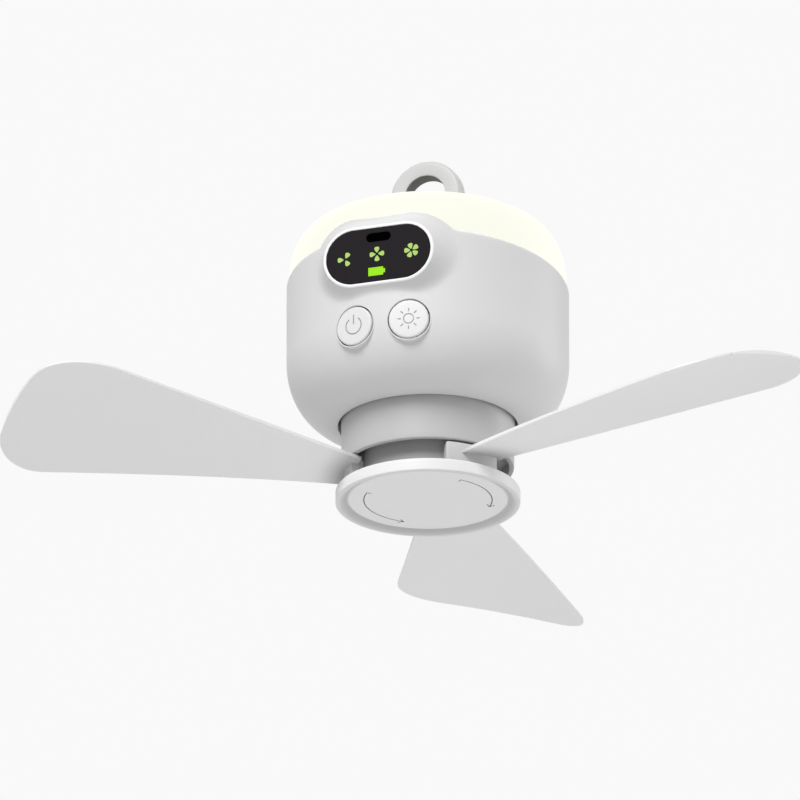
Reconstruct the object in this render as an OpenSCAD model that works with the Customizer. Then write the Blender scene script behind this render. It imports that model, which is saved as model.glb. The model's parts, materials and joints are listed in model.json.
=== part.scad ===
// Hanging camping fan with a lamp dome.
// +Z is up, the display faces -Y, and the origin is the centre of the hanging eye.

/* [Body] */
// Outside diameter of the round body
body_d = 112; // [108:1:120]
// Height of the lower shell, from the dome's base down to the floor
shell_h = 60.5; // [58:0.5:70]
// Wall of the lower shell
shell_wall = 2.2; // [1.8:0.1:2.6]
// Width of the rounded lower corner
shell_corner_w = 21; // [19:0.5:23]
// Height of the rounded lower corner
shell_corner_h = 26.5; // [24:0.5:29]
// Tilt of the seam between shell and dome, higher at the front
seam_tilt = 5.3; // [0:0.1:7]
// Drop of the seam below the dome's base, at the axis
seam_drop = 2.5; // [1:0.5:5]

/* [Lamp dome] */
// Height of the dome above its base
dome_h = 24.8; // [22:0.1:32]
// Width of the dome's rounded corner
dome_corner_w = 23.8; // [18:0.1:26]
// Fullness of the dome's corner: 2 is an ellipse, more is squarer
dome_fullness = 2.3; // [2:0.1:3]
// Wall of the dome
dome_wall = 2; // [1.6:0.1:2.6]
// Depth of the dome's lip inside the shell
dome_lip_h = 3; // [2:0.5:4]
// Number of lamp chips
lamp_count = 24; // [12:2:30]

/* [Hanging ring] */
// Radius of the eye
eye_r = 8.5; // [7:0.1:10]
// Width of the ring's bar
ring_bar = 6.3; // [5:0.1:8]
// Depth of the ring, front to back
ring_depth = 7.2; // [5:0.1:8]
// Rounding of the ring's outer edges
ring_round = 1.6; // [0.8:0.1:2.2]
// Height of the eye's centre above the dome
eye_above_dome = 12.2; // [11.5:0.1:14]
// Radius of the pin that the ring folds on
ring_pin_r = 1.5; // [1:0.1:2]
// Radius of the post that carries the lamp plate
hanger_post_r = 5; // [4:0.25:6]

/* [Display] */
// Width of the display window
lens_w = 43.6; // [38:0.1:46]
// Height of the display window
lens_h = 22.7; // [20:0.1:25]
// Thickness of the display window
lens_t = 2; // [1.5:0.1:2.5]
// Drop of the window's centre below the dome's base
display_drop = 8.8; // [8:0.1:11]
// Bright rim round the window
pod_rim = 1.3; // [1:0.1:2]
// How far the display stands out from the wall
pod_reach = 2.6; // [2.2:0.1:4]
// Spread of the display's surround from its face to its foot
pod_draft = 9; // [6:0.1:10]
// Width of the receiver's window
receiver_w = 9.6; // [8:0.1:12]
// Height of the receiver's window
receiver_h = 3.2; // [2.6:0.1:3.6]

/* [Buttons] */
// Diameter of a button
button_d = 16.8; // [14:0.1:18]
// Angle of each button from the front
button_angle = 11.8; // [11.5:0.1:15]
// Drop of the buttons' centres below the dome's base
button_drop = 36.4; // [35:0.1:38]
// Gap round a button
button_gap = 0.5; // [0.3:0.05:0.8]
// How far a button goes in
button_travel = 0.8; // [0.4:0.1:0.8]

/* [Neck and motor] */
// Step in from the end of the shell's rounded corner to the neck's rim
neck_step = 0.9; // [0.5:0.1:2]
// Height of the neck below the shell
neck_h = 17.7; // [16:0.1:20]
// Dark gap between the neck and the shell
neck_gap = 1.05; // [0.6:0.05:1.5]
// Wall of the neck
neck_wall = 2; // [1.6:0.1:2.6]
// Radius of the stator
stator_r = 17.6; // [16:0.1:18]
// Height of the stator's stack
stator_h = 9; // [7:0.5:10]
// Teeth of the stator
stator_teeth = 12; // [9:3:12]
// Magnets of the rotor
magnet_count = 14; // [10:2:16]
// Radius of the motor's shaft
shaft_r = 2; // [1.5:0.1:2.2]
// Radius of the bearings' outer rings
bearing_r = 5; // [4.5:0.1:5.4]
// Width of a bearing
bearing_h = 4; // [3:0.5:5]

/* [Hub and blades] */
// Radius of the blades' sweep
blade_r = 173.5; // [150:0.5:190]
// Thickness of a blade at its root
blade_root_t = 2.6; // [2:0.1:3.2]
// Thickness of a blade at its tip
blade_tip_t = 1.5; // [1.2:0.1:2.4]
// Rise of a blade over its length
blade_rise = 13; // [6:0.5:18]
// Radius of a blade's hollow, across its width
blade_curve_r = 200; // [160:5:300]
// Slope of a blade's straight edge at the root
blade_pitch = 3; // [0:0.5:5]
// Opening angle between a blade's two edges
blade_spread = 25.5; // [20:0.5:28]
// Corner radius of the tip on the straight edge
tip_corner_lead = 25; // [15:1:30]
// Corner radius of the tip on the spread edge
tip_corner_trail = 20; // [12:1:26]
// Azimuth of the first blade's straight edge
blade_azimuth = 115.2; // [0:0.1:360]
// Gap between the hub and the inside of the neck
hub_side_gap = 4.6; // [3:0.1:5]
// Height between the neck's rim and the lock cap
hub_gap_h = 9.6; // [9:0.1:12]
// Width of the T key's stem at a blade's root
key_stem_w = 9; // [7:0.5:11]
// Width of the T key's head at a blade's root
key_head_w = 15; // [13:0.5:17]

/* [Lock cap] */
// How far the lock cap stands out past the neck's rim
cap_overhang = 2.5; // [1.5:0.1:5]
// Height of the lock cap
cap_h = 5.2; // [4.8:0.1:6.5]
// Radius of the bayonet spigot
spigot_r = 9; // [8:0.25:9.5]
// Reach of the bayonet lugs from the spigot
lug_reach = 3; // [2:0.25:3.5]
// Turn of the lock cap from locked to open
lock_turn = 35; // [25:1:38]

/* [Battery] */
// Number of cells
cell_count = 3; // [2:1:3]
// Diameter of a cell
cell_d = 18.4; // [18:0.1:18.6]
// Length of a cell
cell_l = 65; // [60:0.5:66]

/* [Boards and screws] */
// Thickness of the circuit boards
board_t = 1.6; // [1:0.1:2]
// Radius of the screws' shanks
screw_r = 1.2; // [0.9:0.1:1.4]
// Radius of the screws' heads
screw_head_r = 2.3; // [2:0.1:2.6]
// Height of the screws' heads
screw_head_h = 1.5; // [1:0.1:1.8]
// Width of the charging socket
usb_w = 8.9; // [8.8:0.1:9.2]
// Height of the charging socket
usb_h = 3.2; // [3:0.1:3.4]
// Drop of the charging socket below the dome's base
usb_drop = 26; // [24:0.5:28]

/* [Hidden] */

$fn = 96;
eps = 0.01;      // cutters run this far past a face
seat_gap = 0.05; // between pieces that sit on each other
seam_gap = 0.1;  // between the shell and the dome
run_gap = 0.3;   // between pieces that move past each other
pin_gap = 0.05;  // a running fit, on the radius
post_grip = 7;   // reach of the plate's and tray's screws into their posts
hub_grip = 6;    // reach of the rotor's screws into the hub
blade_count = 3; // one node and one bayonet lug each

// Heights, from the eye down
body_r = body_d / 2;
dome_top_z = -eye_above_dome;
dome_base_z = dome_top_z - dome_h;
seam_z = dome_base_z - seam_drop;
seam_low_z = seam_z - body_r * tan(seam_tilt);
shell_floor_z = dome_base_z - shell_h;
corner_z = shell_floor_z + shell_corner_h;
neck_rim_z = shell_floor_z - neck_h;
cap_top_z = neck_rim_z - hub_gap_h;
cap_bottom_z = cap_top_z - cap_h;

// Radii of the body
shell_in_r = body_r - shell_wall;
corner_r = body_r - shell_corner_w;
dome_top_r = body_r - dome_corner_w;
lip_r = shell_in_r - 0.15;
lip_t = 1.3;

// Ring and its pivot
ring_r = eye_r + ring_bar;
pivot_r = ring_depth / 2;
hanger_flange_h = 1;
pivot_z = dome_top_z + hanger_flange_h + pivot_r + 0.4;
lug_half_w = eye_r - run_gap;
ring_pin_half = ring_r - 1.2;
hanger_flange_r = ring_r - 1.2;

// Lamp plate, cells and tray, from the seam down
light_plate_t = 1.5;
light_plate_top_z = seam_low_z - 1.3;
light_plate_z = light_plate_top_z - light_plate_t;
light_plate_r = lip_r - lip_t - 0.4;
lamp_board_in_r = 22;
lamp_board_out_r = light_plate_r - 3;
lamp_board_t = 1.6;
cell_r = cell_d / 2;
cell_pitch = cell_d + 0.6;
cell_z = light_plate_z - screw_head_h - 0.4 - cell_r;
tray_floor_t = 2.8;
tray_z = cell_z - cell_r - tray_floor_t;
tray_h = tray_floor_t + cell_r * 0.75;
tray_half_x = cell_l / 2 + 2.4;
tray_half_y = (cell_count - 1) / 2 * cell_pitch + cell_r + 1.8;
post_r = 3.6;
post_circle = shell_in_r - 9.4;
post_y = tray_half_y + post_r + 1.6;
post_x = sqrt(pow(post_circle, 2) - pow(post_y, 2));
ear_h = 3;
strap_t = 0.3;
strap_h = 6;
pilot_r = screw_r + seat_gap;

// Display and front board
pod_face_y = -(body_r + pod_reach);
pod_foot_y = -(body_r - 11);
display_z = dome_base_z - display_drop;
lens_recess = 0.3;
lens_y = pod_face_y + lens_recess;
ledge_w = 1.8;
ledge_y = lens_y + lens_t + seat_gap;
front_board_y = -(body_r - 12.2);
lamp_circle_r = -front_board_y - board_t - 4.5;
front_board_w = 44;
front_board_low_w = 32;
front_board_top_z = display_z + 9.6;
front_board_step_z = display_z - 18.5;
button_z = dome_base_z - button_drop;
front_board_bottom_z = button_z - 8.5;
front_screw_x = 18.6;
front_screw_z = display_z - 15.4;
board_boss_r = 2.9;
icon_pitch = lens_w * 0.297;
icon_z = display_z + 0.3;
icon_cell_r = 4.4;
battery_icon_z = display_z - lens_h * 0.31;
battery_cell_w = 8;
light_cell_h = 3;
receiver_z = display_z + lens_h * 0.34;
eye_cell_w = 7.2;
led_size = [3.2, 1.2, 2.6];

// Buttons, measured along their own axis
button_r = button_d / 2;
button_face = body_r + 0.3;
button_flange_r = button_r + 1.2;
button_flange_t = 1;
button_ear_h = 6;
button_flange = sqrt(pow(shell_in_r, 2) - pow(button_flange_r, 2)) - 0.8 - button_flange_t;
switch_h = 3.5;
switch_stem_h = 0.8;
switch_x = (body_r - 7) * sin(button_angle);
button_plunger = 0.4;

// Main board and charging socket
main_board_y = body_r - 10;
main_board_w = 40;
main_board_h = 30;
usb_z = dome_base_z - usb_drop;
main_board_z = light_plate_z - 1 - main_board_h / 2;
usb_depth = body_r - 1.3 - main_board_y - board_t;
main_screw_x = 16;
main_screw_z = 11.5;

// Neck and motor, from the shell's land up and down
neck_r = corner_r - neck_step;
neck_top_r = neck_r + 0.45;
opening_r = neck_top_r + neck_gap;
land_h = 5.5;
land_z = shell_floor_z + land_h;
flange_h = 2.2;
flange_r = opening_r + 7.4;
motor_screw_circle = opening_r + 4.2;
motor_plate_z = land_z + flange_h;
motor_plate_t = 2;
motor_plate_top_z = motor_plate_z + motor_plate_t;
neck_in_r = neck_r - neck_wall;
hub_top_z = neck_rim_z + 3.6;
can_floor_t = 1.6;
can_floor_z = hub_top_z + can_floor_t;
can_top_z = motor_plate_z - 4;
magnet_t = 2.45;
magnet_in_r = stator_r + 0.5;
can_in_r = magnet_in_r + magnet_t + seat_gap;
can_r = can_in_r + 1.4;
web_z = hub_top_z + 0.6;
web_t = 1.5;
tube_r = bearing_r + 2;
tube_z = can_floor_z + 2.8;
tube_waist_r = bearing_r - 1.4;
stator_mid_z = (can_floor_z + can_top_z) / 2 + 0.8;
stator_in_r = tube_r + seat_gap;
yoke_r = stator_in_r + 3;
shoe_r = stator_r - 1.5;
tooth_w = 2.2;
cooling_circle = tube_r + 2.5;
coil_t = 1.25;
shaft_top_z = motor_plate_top_z + 1.8;
clip_z = motor_plate_top_z + 0.5;
clip_t = 0.5;
groove_r = shaft_r - 0.4;

// Hub, blade roots and bayonet
hub_r = neck_in_r - hub_side_gap;
hub_bottom_z = cap_top_z + run_gap;
pocket_top_z = hub_bottom_z + 7.4;
key_head_in_r = spigot_r + lug_reach + 5;
key_head_out_r = key_head_in_r + 4.5;
key_gap = 0.15;
hub_screw_circle = 17;
root_block_r = neck_r - 0.5;
root_block_mid = -32;
root_block_half = 21;
lug_h = 2;
lug_angle = 40;
notch_angle = lug_angle + 6;
lug_z = cap_top_z + 4.1;
lug_r = spigot_r + lug_reach;
shaft_bottom_z = hub_top_z - 5;

// Blade outline: straight edge, spread edge and tip, in the blade's own frame
edge_offset = 2.4;
root_start = root_block_r - 3;
spread_start_angle = 42;
span_steps = 9;
corner_steps = 5;
chord_steps = 8;

// Points of a quarter ellipse round (cx, cz), from angle a0 to a1
function arc_points(cx, cz, a, b, a0, a1, steps) =
    [for (i = [0 : steps]) let (t = a0 + (a1 - a0) * i / steps) [cx + a * cos(t), cz + b * sin(t)]];

// The same for a fuller corner of the dome
function full_points(cx, cz, a, b, a0, a1, steps) =
    [for (i = [0 : steps]) let (t = a0 + (a1 - a0) * i / steps, k = 2 / dome_fullness)
        [cx + a * pow(cos(t), k), cz + b * pow(sin(t), k)]];

// A pill lying along X
module pill(w, h) {
    for (side = [-1, 1]) translate([side * (w - h) / 2, 0]) circle(d = h);
    square([w - h, h], center = true);
}

// Stands a flat outline up on the front, from depth y0 to y1
module front_extrude(y0, y1, z) {
    translate([0, y1, z]) rotate([90, 0, 0]) linear_extrude(y1 - y0) children();
}

// Turns a piece to a button's own axis: its +X points out of the body
module on_button_axis(side) {
    translate([0, 0, button_z]) rotate([0, 0, -90 + side * button_angle]) children();
}

// The half spaces above and below the tilted seam
module above_seam(lift) {
    translate([0, 0, seam_z + lift]) rotate([-seam_tilt, 0, 0])
        translate([-body_d, -body_d, 0]) cube([2 * body_d, 2 * body_d, body_d]);
}

module below_seam(lift) {
    translate([0, 0, seam_z + lift]) rotate([-seam_tilt, 0, 0])
        translate([-body_d, -body_d, -body_d]) cube([2 * body_d, 2 * body_d, body_d]);
}

// A screw along -Z with its head resting on z = 0
module screw(length) {
    cylinder(h = screw_head_h, r = screw_head_r, $fn = 32);
    translate([0, 0, -length]) cylinder(h = length + eps, r = screw_r, $fn = 32);
}

module at_posts() {
    for (sx = [-1, 1], sy = [-1, 1]) translate([sx * post_x, sy * post_y, 0]) children();
}

// ---- Hanging ring ----

// Ring bar's section: the outer edges are rounded, the inner ones are sharp
module ring_section() {
    half = ring_depth / 2;
    inner = ring_r - ring_round;
    polygon(concat([[eye_r, half], [eye_r, -half]],
        arc_points(inner, ring_round - half, ring_round, ring_round, -90, 0, 6),
        arc_points(inner, half - ring_round, ring_round, ring_round, 0, 90, 6)));
}

// Half of the ring: a quarter of the bow, and the leg down to its pivot
module ring_half() {
    rotate([90, 0, 0]) rotate_extrude(angle = 90) ring_section();
    translate([0, 0, pivot_z]) linear_extrude(-pivot_z) ring_section();
    translate([eye_r, 0, pivot_z]) rotate([0, 90, 0]) cylinder(h = ring_bar - ring_round, r = pivot_r);
}

module hang_ring() {
    color("gainsboro") difference() {
        union() {
            ring_half();
            rotate([0, 0, 180]) ring_half();
        }
        translate([-ring_r - 1, 0, pivot_z]) rotate([0, 90, 0])
            cylinder(h = 2 * ring_r + 2, r = ring_pin_r + 0.02, $fn = 48);
    }
}

module ring_pin() {
    color("silver") translate([-ring_pin_half, 0, pivot_z]) rotate([0, 90, 0])
        cylinder(h = 2 * ring_pin_half, r = ring_pin_r, $fn = 48);
}

module hanger_seat() {
    post_h = dome_top_z - light_plate_top_z;
    color("gainsboro") difference() {
        union() {
            translate([0, 0, dome_top_z + seat_gap])
                cylinder(h = hanger_flange_h - seat_gap, r = hanger_flange_r);
            translate([-lug_half_w, 0, pivot_z]) rotate([0, 90, 0])
                cylinder(h = 2 * lug_half_w, r = pivot_r);
            translate([-lug_half_w, -pivot_r, dome_top_z + seat_gap])
                cube([2 * lug_half_w, 2 * pivot_r, pivot_z - dome_top_z]);
            translate([0, 0, light_plate_top_z + seat_gap]) cylinder(h = post_h, r = hanger_post_r);
        }
        translate([-ring_r, 0, pivot_z]) rotate([0, 90, 0])
            cylinder(h = 2 * ring_r, r = ring_pin_r + pin_gap, $fn = 48);
        translate([0, 0, light_plate_top_z]) cylinder(h = 12, r = pilot_r, $fn = 32);
    }
}

module hanger_screw() {
    color("silver") translate([0, 0, light_plate_z]) rotate([180, 0, 0]) screw(light_plate_t + 10);
}

// ---- Lamp ----

// Ring of the dome's lip, between two heights measured from the seam
module lip_ring(r0, r1, low, high) {
    difference() {
        translate([0, 0, seam_low_z - dome_lip_h - 2])
            cylinder(h = dome_base_z - seam_low_z + dome_lip_h + 6, r = r1);
        translate([0, 0, seam_low_z - dome_lip_h - 3])
            cylinder(h = dome_base_z - seam_low_z + dome_lip_h + 8, r = r0);
        below_seam(low);
        above_seam(high);
    }
}

module dome_skin() {
    base = seam_low_z - 1;
    difference() {
        rotate_extrude() polygon(concat([[body_r, base]],
            full_points(dome_top_r, dome_base_z, dome_corner_w, dome_h, 0, 90, 16),
            [[0, dome_top_z], [0, dome_top_z - dome_wall]],
            full_points(dome_top_r, dome_base_z, dome_corner_w - dome_wall, dome_h - dome_wall, 90, 0, 16),
            [[body_r - dome_wall, base]]));
        below_seam(seam_gap);
    }
}

module light_dome() {
    color("ivory") difference() {
        union() {
            dome_skin();
            lip_ring(lip_r - lip_t, lip_r, -dome_lip_h, 1.5);
            lip_ring(lip_r - lip_t, body_r - dome_wall + 0.5, seam_gap, 1.5);
        }
        display_pod(0.15);
        translate([0, 0, dome_top_z - dome_wall - 1])
            cylinder(h = dome_wall + 2, r = hanger_post_r + 0.2, $fn = 64);
    }
}

module light_plate() {
    color("white") difference() {
        translate([0, 0, light_plate_z]) cylinder(h = light_plate_t, r = light_plate_r);
        translate([0, 0, light_plate_z - 1]) cylinder(h = light_plate_t + 2, r = pilot_r, $fn = 32);
        translate([0, 0, light_plate_z - 1]) at_posts()
            cylinder(h = light_plate_t + 2, r = pilot_r, $fn = 32);
        // room for the front board and the display's light box
        translate([-body_r, -body_d, light_plate_z - 1])
            cube([body_d, body_d + front_board_y + board_t + 1, light_plate_t + 2]);
    }
}

module light_board() {
    color("white") difference() {
        translate([0, 0, light_plate_top_z + seat_gap]) cylinder(h = lamp_board_t, r = lamp_board_out_r);
        translate([0, 0, light_plate_top_z]) cylinder(h = lamp_board_t + 1, r = lamp_board_in_r);
        translate([0, 0, light_plate_top_z]) at_posts()
            cylinder(h = lamp_board_t + 1, r = screw_head_r + 0.8, $fn = 32);
        translate([-body_r, -body_d, light_plate_z - 1])
            cube([body_d, body_d + front_board_y + board_t + 1, light_plate_t + 5]);
    }
}

module lamp_chips() {
    chip = 3;
    color("khaki") for (i = [0 : lamp_count - 1]) rotate([0, 0, (i + 0.5) * 360 / lamp_count])
        translate([lamp_circle_r - chip / 2, -chip / 2, light_plate_top_z + lamp_board_t + 2 * seat_gap])
            cube([chip, chip, 0.8]);
}

module light_plate_screws() {
    color("silver") translate([0, 0, light_plate_top_z]) at_posts() screw(light_plate_t + post_grip);
}

// ---- Lower shell ----

// Grown by gap, the pod is also the dome's cut-out
module display_pod(gap) {
    face_w = lens_w + 2 * pod_rim + 2 * gap;
    face_h = lens_h + 2 * pod_rim + 2 * gap;
    grow = 2 * pod_draft;
    front_y = pod_face_y - gap;
    hull() {
        front_extrude(front_y, front_y + 0.2, display_z) pill(face_w, face_h, $fn = 48);
        front_extrude(pod_foot_y - 0.2, pod_foot_y, display_z) pill(face_w + grow, face_h + grow, $fn = 48);
    }
}

module shell_solid() {
    rotate_extrude() polygon(concat([[0, dome_base_z + dome_h / 2], [body_r, dome_base_z + dome_h / 2]],
        arc_points(corner_r, corner_z, shell_corner_w, shell_corner_h, 0, -90, 16),
        [[0, shell_floor_z]]));
}

module shell_cavity() {
    in_w = shell_corner_w - shell_wall;
    in_h = shell_corner_h - shell_wall;
    land_angle = -asin((corner_z - land_z) / in_h);
    rotate_extrude() polygon(concat([[0, dome_base_z + dome_h], [shell_in_r, dome_base_z + dome_h]],
        arc_points(corner_r, corner_z, in_w, in_h, 0, land_angle, 12), [[0, land_z]]));
}

// Bosses grow out of the wall, so each is trimmed to the shell's outside
module shell_bosses() {
    intersection() {
        shell_solid();
        union() {
            translate([0, 0, land_z - 1]) at_posts() cylinder(h = tray_z - land_z + 1, r = post_r, $fn = 48);
            at_front_screws() translate([0, 0, seat_gap]) cylinder(h = body_r, r = board_boss_r, $fn = 32);
            at_main_screws() translate([0, 0, board_t + seat_gap])
                cylinder(h = body_r, r = board_boss_r, $fn = 32);
        }
    }
}

// Screw places of the front board, +Z pointing out of the body from the board's front
module at_front_screws() {
    for (side = [-1, 1]) translate([side * front_screw_x, front_board_y, front_screw_z])
        rotate([90, 0, 0]) children();
}

// Screw places of the main board, +Z pointing out of the body from the board's inner face
module at_main_screws() {
    for (side = [-1, 1], level = [-1, 1])
        translate([side * main_screw_x, main_board_y, main_board_z + level * main_screw_z])
            rotate([-90, 0, 0]) children();
}

module lower_shell() {
    color("whitesmoke") difference() {
        union() {
            difference() {
                union() {
                    difference() {
                        shell_solid();
                        above_seam(0);
                    }
                    display_pod(0);
                }
                shell_cavity();
            }
            shell_bosses();
        }
        // display: pocket for the window, opening behind it
        front_extrude(pod_face_y - 1, ledge_y, display_z) pill(lens_w + 0.2, lens_h + 0.2, $fn = 64);
        front_extrude(pod_face_y - 1, front_board_y, display_z)
            pill(lens_w - 2 * ledge_w, lens_h - 2 * ledge_w, $fn = 64);
        // buttons
        for (side = [-1, 1]) on_button_axis(side) translate([shell_in_r - 6, 0, 0]) rotate([0, 90, 0])
            cylinder(h = 20, r = button_r + button_gap);
        // neck opening
        translate([0, 0, shell_floor_z - 1]) cylinder(h = land_h + 3, r = opening_r);
        // charging socket
        translate([0, body_r + 5, usb_z]) rotate([90, 0, 0]) linear_extrude(15)
            pill(usb_w + 0.6, usb_h + 0.6, $fn = 32);
        // screw pilots
        translate([0, 0, tray_z - post_grip - 2]) at_posts()
            cylinder(h = post_grip + 3, r = pilot_r, $fn = 32);
        for (i = [0 : 3]) rotate([0, 0, 90 * i]) translate([motor_screw_circle, 0, land_z - 3.4])
            cylinder(h = 5, r = pilot_r, $fn = 32);
        at_front_screws() translate([0, 0, -1]) cylinder(h = 5.5, r = pilot_r, $fn = 32);
        at_main_screws() cylinder(h = board_t + 4, r = pilot_r, $fn = 32);
    }
}

// ---- Display, buttons and front board ----

module display_lens() {
    color("darkslategray") difference() {
        front_extrude(lens_y, lens_y + lens_t, display_z) pill(lens_w, lens_h, $fn = 64);
        front_extrude(lens_y - 1, lens_y + lens_t + 1, receiver_z)
            pill(receiver_w + 0.1, receiver_h + 0.1, $fn = 32);
    }
}

module receiver_window() {
    color("black") front_extrude(lens_y + 0.1, lens_y + lens_t, receiver_z)
        pill(receiver_w, receiver_h, $fn = 32);
}

module display_light_box() {
    box_w = lens_w - 2 * ledge_w - 0.4;
    box_h = lens_h - 2 * ledge_w - 0.4;
    color("white") difference() {
        front_extrude(ledge_y, front_board_y - seat_gap, display_z) pill(box_w, box_h, $fn = 64);
        for (i = [-1 : 1]) front_extrude(pod_face_y, 0, icon_z)
            translate([i * icon_pitch, 0]) circle(r = icon_cell_r, $fn = 32);
        front_extrude(pod_face_y, 0, battery_icon_z) square([battery_cell_w, light_cell_h], center = true);
        front_extrude(pod_face_y, 0, receiver_z) square([eye_cell_w, light_cell_h], center = true);
    }
}

module front_board() {
    color("seagreen") difference() {
        translate([0, front_board_y + board_t, 0]) rotate([90, 0, 0]) linear_extrude(board_t) {
            translate([-front_board_w / 2, front_board_step_z])
                square([front_board_w, front_board_top_z - front_board_step_z]);
            translate([-front_board_low_w / 2, front_board_bottom_z])
                square([front_board_low_w, front_board_step_z - front_board_bottom_z + eps]);
        }
        for (side = [-1, 1]) translate([side * front_screw_x, 0, front_screw_z]) rotate([90, 0, 0])
            cylinder(h = body_d, r = pilot_r, $fn = 32);
    }
}

module display_leds() {
    spots = [[-icon_pitch, icon_z], [0, icon_z], [icon_pitch, icon_z], [0, battery_icon_z]];
    color("yellowgreen") for (spot = spots)
        translate([spot[0], front_board_y - led_size[1] / 2 - seat_gap, spot[1]])
            cube(led_size, center = true);
}

module remote_receiver() {
    color("black") translate([0, front_board_y - seat_gap, receiver_z]) rotate([90, 0, 0]) {
        translate([-3.2, -1.3, 0]) cube([6.4, 2.6, 4]);
        translate([0, 0, 4]) cylinder(h = 1.4, r = 1.3, $fn = 32);
    }
}

module tact_switches() {
    color("dimgray") for (side = [-1, 1]) translate([side * switch_x, front_board_y - seat_gap, button_z])
        rotate([90, 0, 0]) {
            translate([-3, -3, 0]) cube([6, 6, switch_h]);
            translate([0, 0, switch_h]) cylinder(h = switch_stem_h, r = 1.7, $fn = 32);
        }
}

module button(side) {
    on_button_axis(side) rotate([0, 90, 0]) {
        translate([0, 0, button_flange]) cylinder(h = button_face - 0.5 - button_flange, r = button_r);
        translate([0, 0, button_face - 0.5 - eps])
            cylinder(h = 0.5 + eps, r1 = button_r, r2 = button_r - 0.5);
        // two ears behind the wall keep the button in
        intersection() {
            translate([0, 0, button_flange]) cylinder(h = button_flange_t, r = button_flange_r);
            translate([-button_ear_h / 2, -body_r, 0]) cube([button_ear_h, body_d, body_d]);
        }
        translate([0, 0, button_flange - button_plunger]) cylinder(h = 1, r = 2.2, $fn = 32);
    }
}

module power_button() {
    color("white") button(-1);
}

module light_button() {
    color("white") button(1);
}

module front_board_screws() {
    color("silver") for (side = [-1, 1])
        translate([side * front_screw_x, front_board_y + board_t, front_screw_z]) rotate([-90, 0, 0])
            screw(board_t + 3.5);
}

// ---- Main board and charging socket ----

module main_board() {
    color("seagreen") difference() {
        translate([-main_board_w / 2, main_board_y, main_board_z - main_board_h / 2])
            cube([main_board_w, board_t, main_board_h]);
        at_main_screws() translate([0, 0, -1]) cylinder(h = board_t + 2, r = pilot_r, $fn = 32);
    }
}

module usb_c_socket() {
    wall = 0.3;
    color("silver") translate([0, main_board_y + board_t + seat_gap + usb_depth, usb_z]) rotate([90, 0, 0]) {
        difference() {
            linear_extrude(usb_depth) pill(usb_w, usb_h, $fn = 32);
            translate([0, 0, -eps]) linear_extrude(usb_depth - 1)
                pill(usb_w - 2 * wall, usb_h - 2 * wall, $fn = 32);
        }
        translate([-3.35, -0.35, 1]) cube([6.7, 0.7, usb_depth - 1.5]);
    }
}

module main_board_screws() {
    color("silver") at_main_screws() rotate([180, 0, 0]) screw(board_t + 3.2);
}

// ---- Battery ----

module at_cells() {
    first = -(cell_count - 1) / 2 * cell_pitch;
    for (i = [0 : cell_count - 1]) translate([0, first + i * cell_pitch, cell_z]) children();
}

module battery_tray() {
    post_h = light_plate_z - seat_gap - tray_z;
    color("dimgray") difference() {
        union() {
            translate([-tray_half_x, -tray_half_y, tray_z + seat_gap])
                cube([2 * tray_half_x, 2 * tray_half_y, tray_h]);
            translate([0, 0, tray_z + seat_gap]) at_posts()
                cylinder(h = post_h - seat_gap, r = post_r, $fn = 48);
            for (sx = [-1, 1], sy = [-1, 1])
                translate([sx * post_x - post_r, sy > 0 ? tray_half_y - 1 : -post_y, tray_z + seat_gap])
                    cube([2 * post_r, post_y - tray_half_y + 1, ear_h]);
        }
        at_cells() translate([-cell_l / 2 - 0.6, 0, 0]) rotate([0, 90, 0])
            cylinder(h = cell_l + 1.2, r = cell_r + 0.15);
        // upper pilots for the lamp plate, lower through holes with room for the driver
        translate([0, 0, light_plate_z - post_grip - 0.5]) at_posts()
            cylinder(h = post_grip + 2, r = pilot_r, $fn = 32);
        translate([0, 0, tray_z - 1]) at_posts() cylinder(h = ear_h + 2, r = pilot_r, $fn = 32);
        translate([0, 0, tray_z + ear_h]) at_posts()
            cylinder(h = screw_head_h + 0.4, r = screw_head_r + 0.1, $fn = 32);
    }
}

module battery_cells() {
    color("royalblue") at_cells() translate([-cell_l / 2, 0, 0]) rotate([0, 90, 0]) {
        cylinder(h = cell_l - 1, r = cell_r);
        cylinder(h = cell_l, r = 3, $fn = 32);
    }
}

module cell_straps() {
    length = (cell_count - 1) * cell_pitch + strap_h + 1;
    color("silver") for (end = [-1, 1])
        translate([end * (cell_l / 2 + seat_gap + strap_t / 2), 0, cell_z + 1])
            cube([strap_t, length, strap_h], center = true);
}

module tray_screws() {
    color("silver") translate([0, 0, tray_z + ear_h]) at_posts() screw(ear_h + post_grip);
}

// ---- Motor ----

// Notches in the motor's flanges, round the shell's four bosses
module post_notches() {
    translate([0, 0, land_z - 1]) at_posts() cylinder(h = 10, r = post_r + run_gap, $fn = 48);
}

module motor_cover() {
    color("gainsboro") difference() {
        union() {
            translate([0, 0, neck_rim_z])
                cylinder(h = land_z - neck_rim_z + seat_gap, r1 = neck_r, r2 = neck_top_r);
            translate([0, 0, land_z + seat_gap]) cylinder(h = flange_h - seat_gap, r = flange_r);
        }
        translate([0, 0, neck_rim_z - 1]) cylinder(h = web_z - neck_rim_z + 1, r = neck_in_r);
        translate([0, 0, web_z + web_t]) cylinder(h = motor_plate_z - web_z, r = neck_in_r);
        translate([0, 0, web_z - 1]) cylinder(h = web_t + 2, r = can_r + 1.3);
        post_notches();
        for (i = [0 : 3]) rotate([0, 0, 90 * i])
            translate([motor_screw_circle, 0, land_z - 1]) cylinder(h = flange_h + 2, r = pilot_r, $fn = 32);
    }
}

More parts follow.
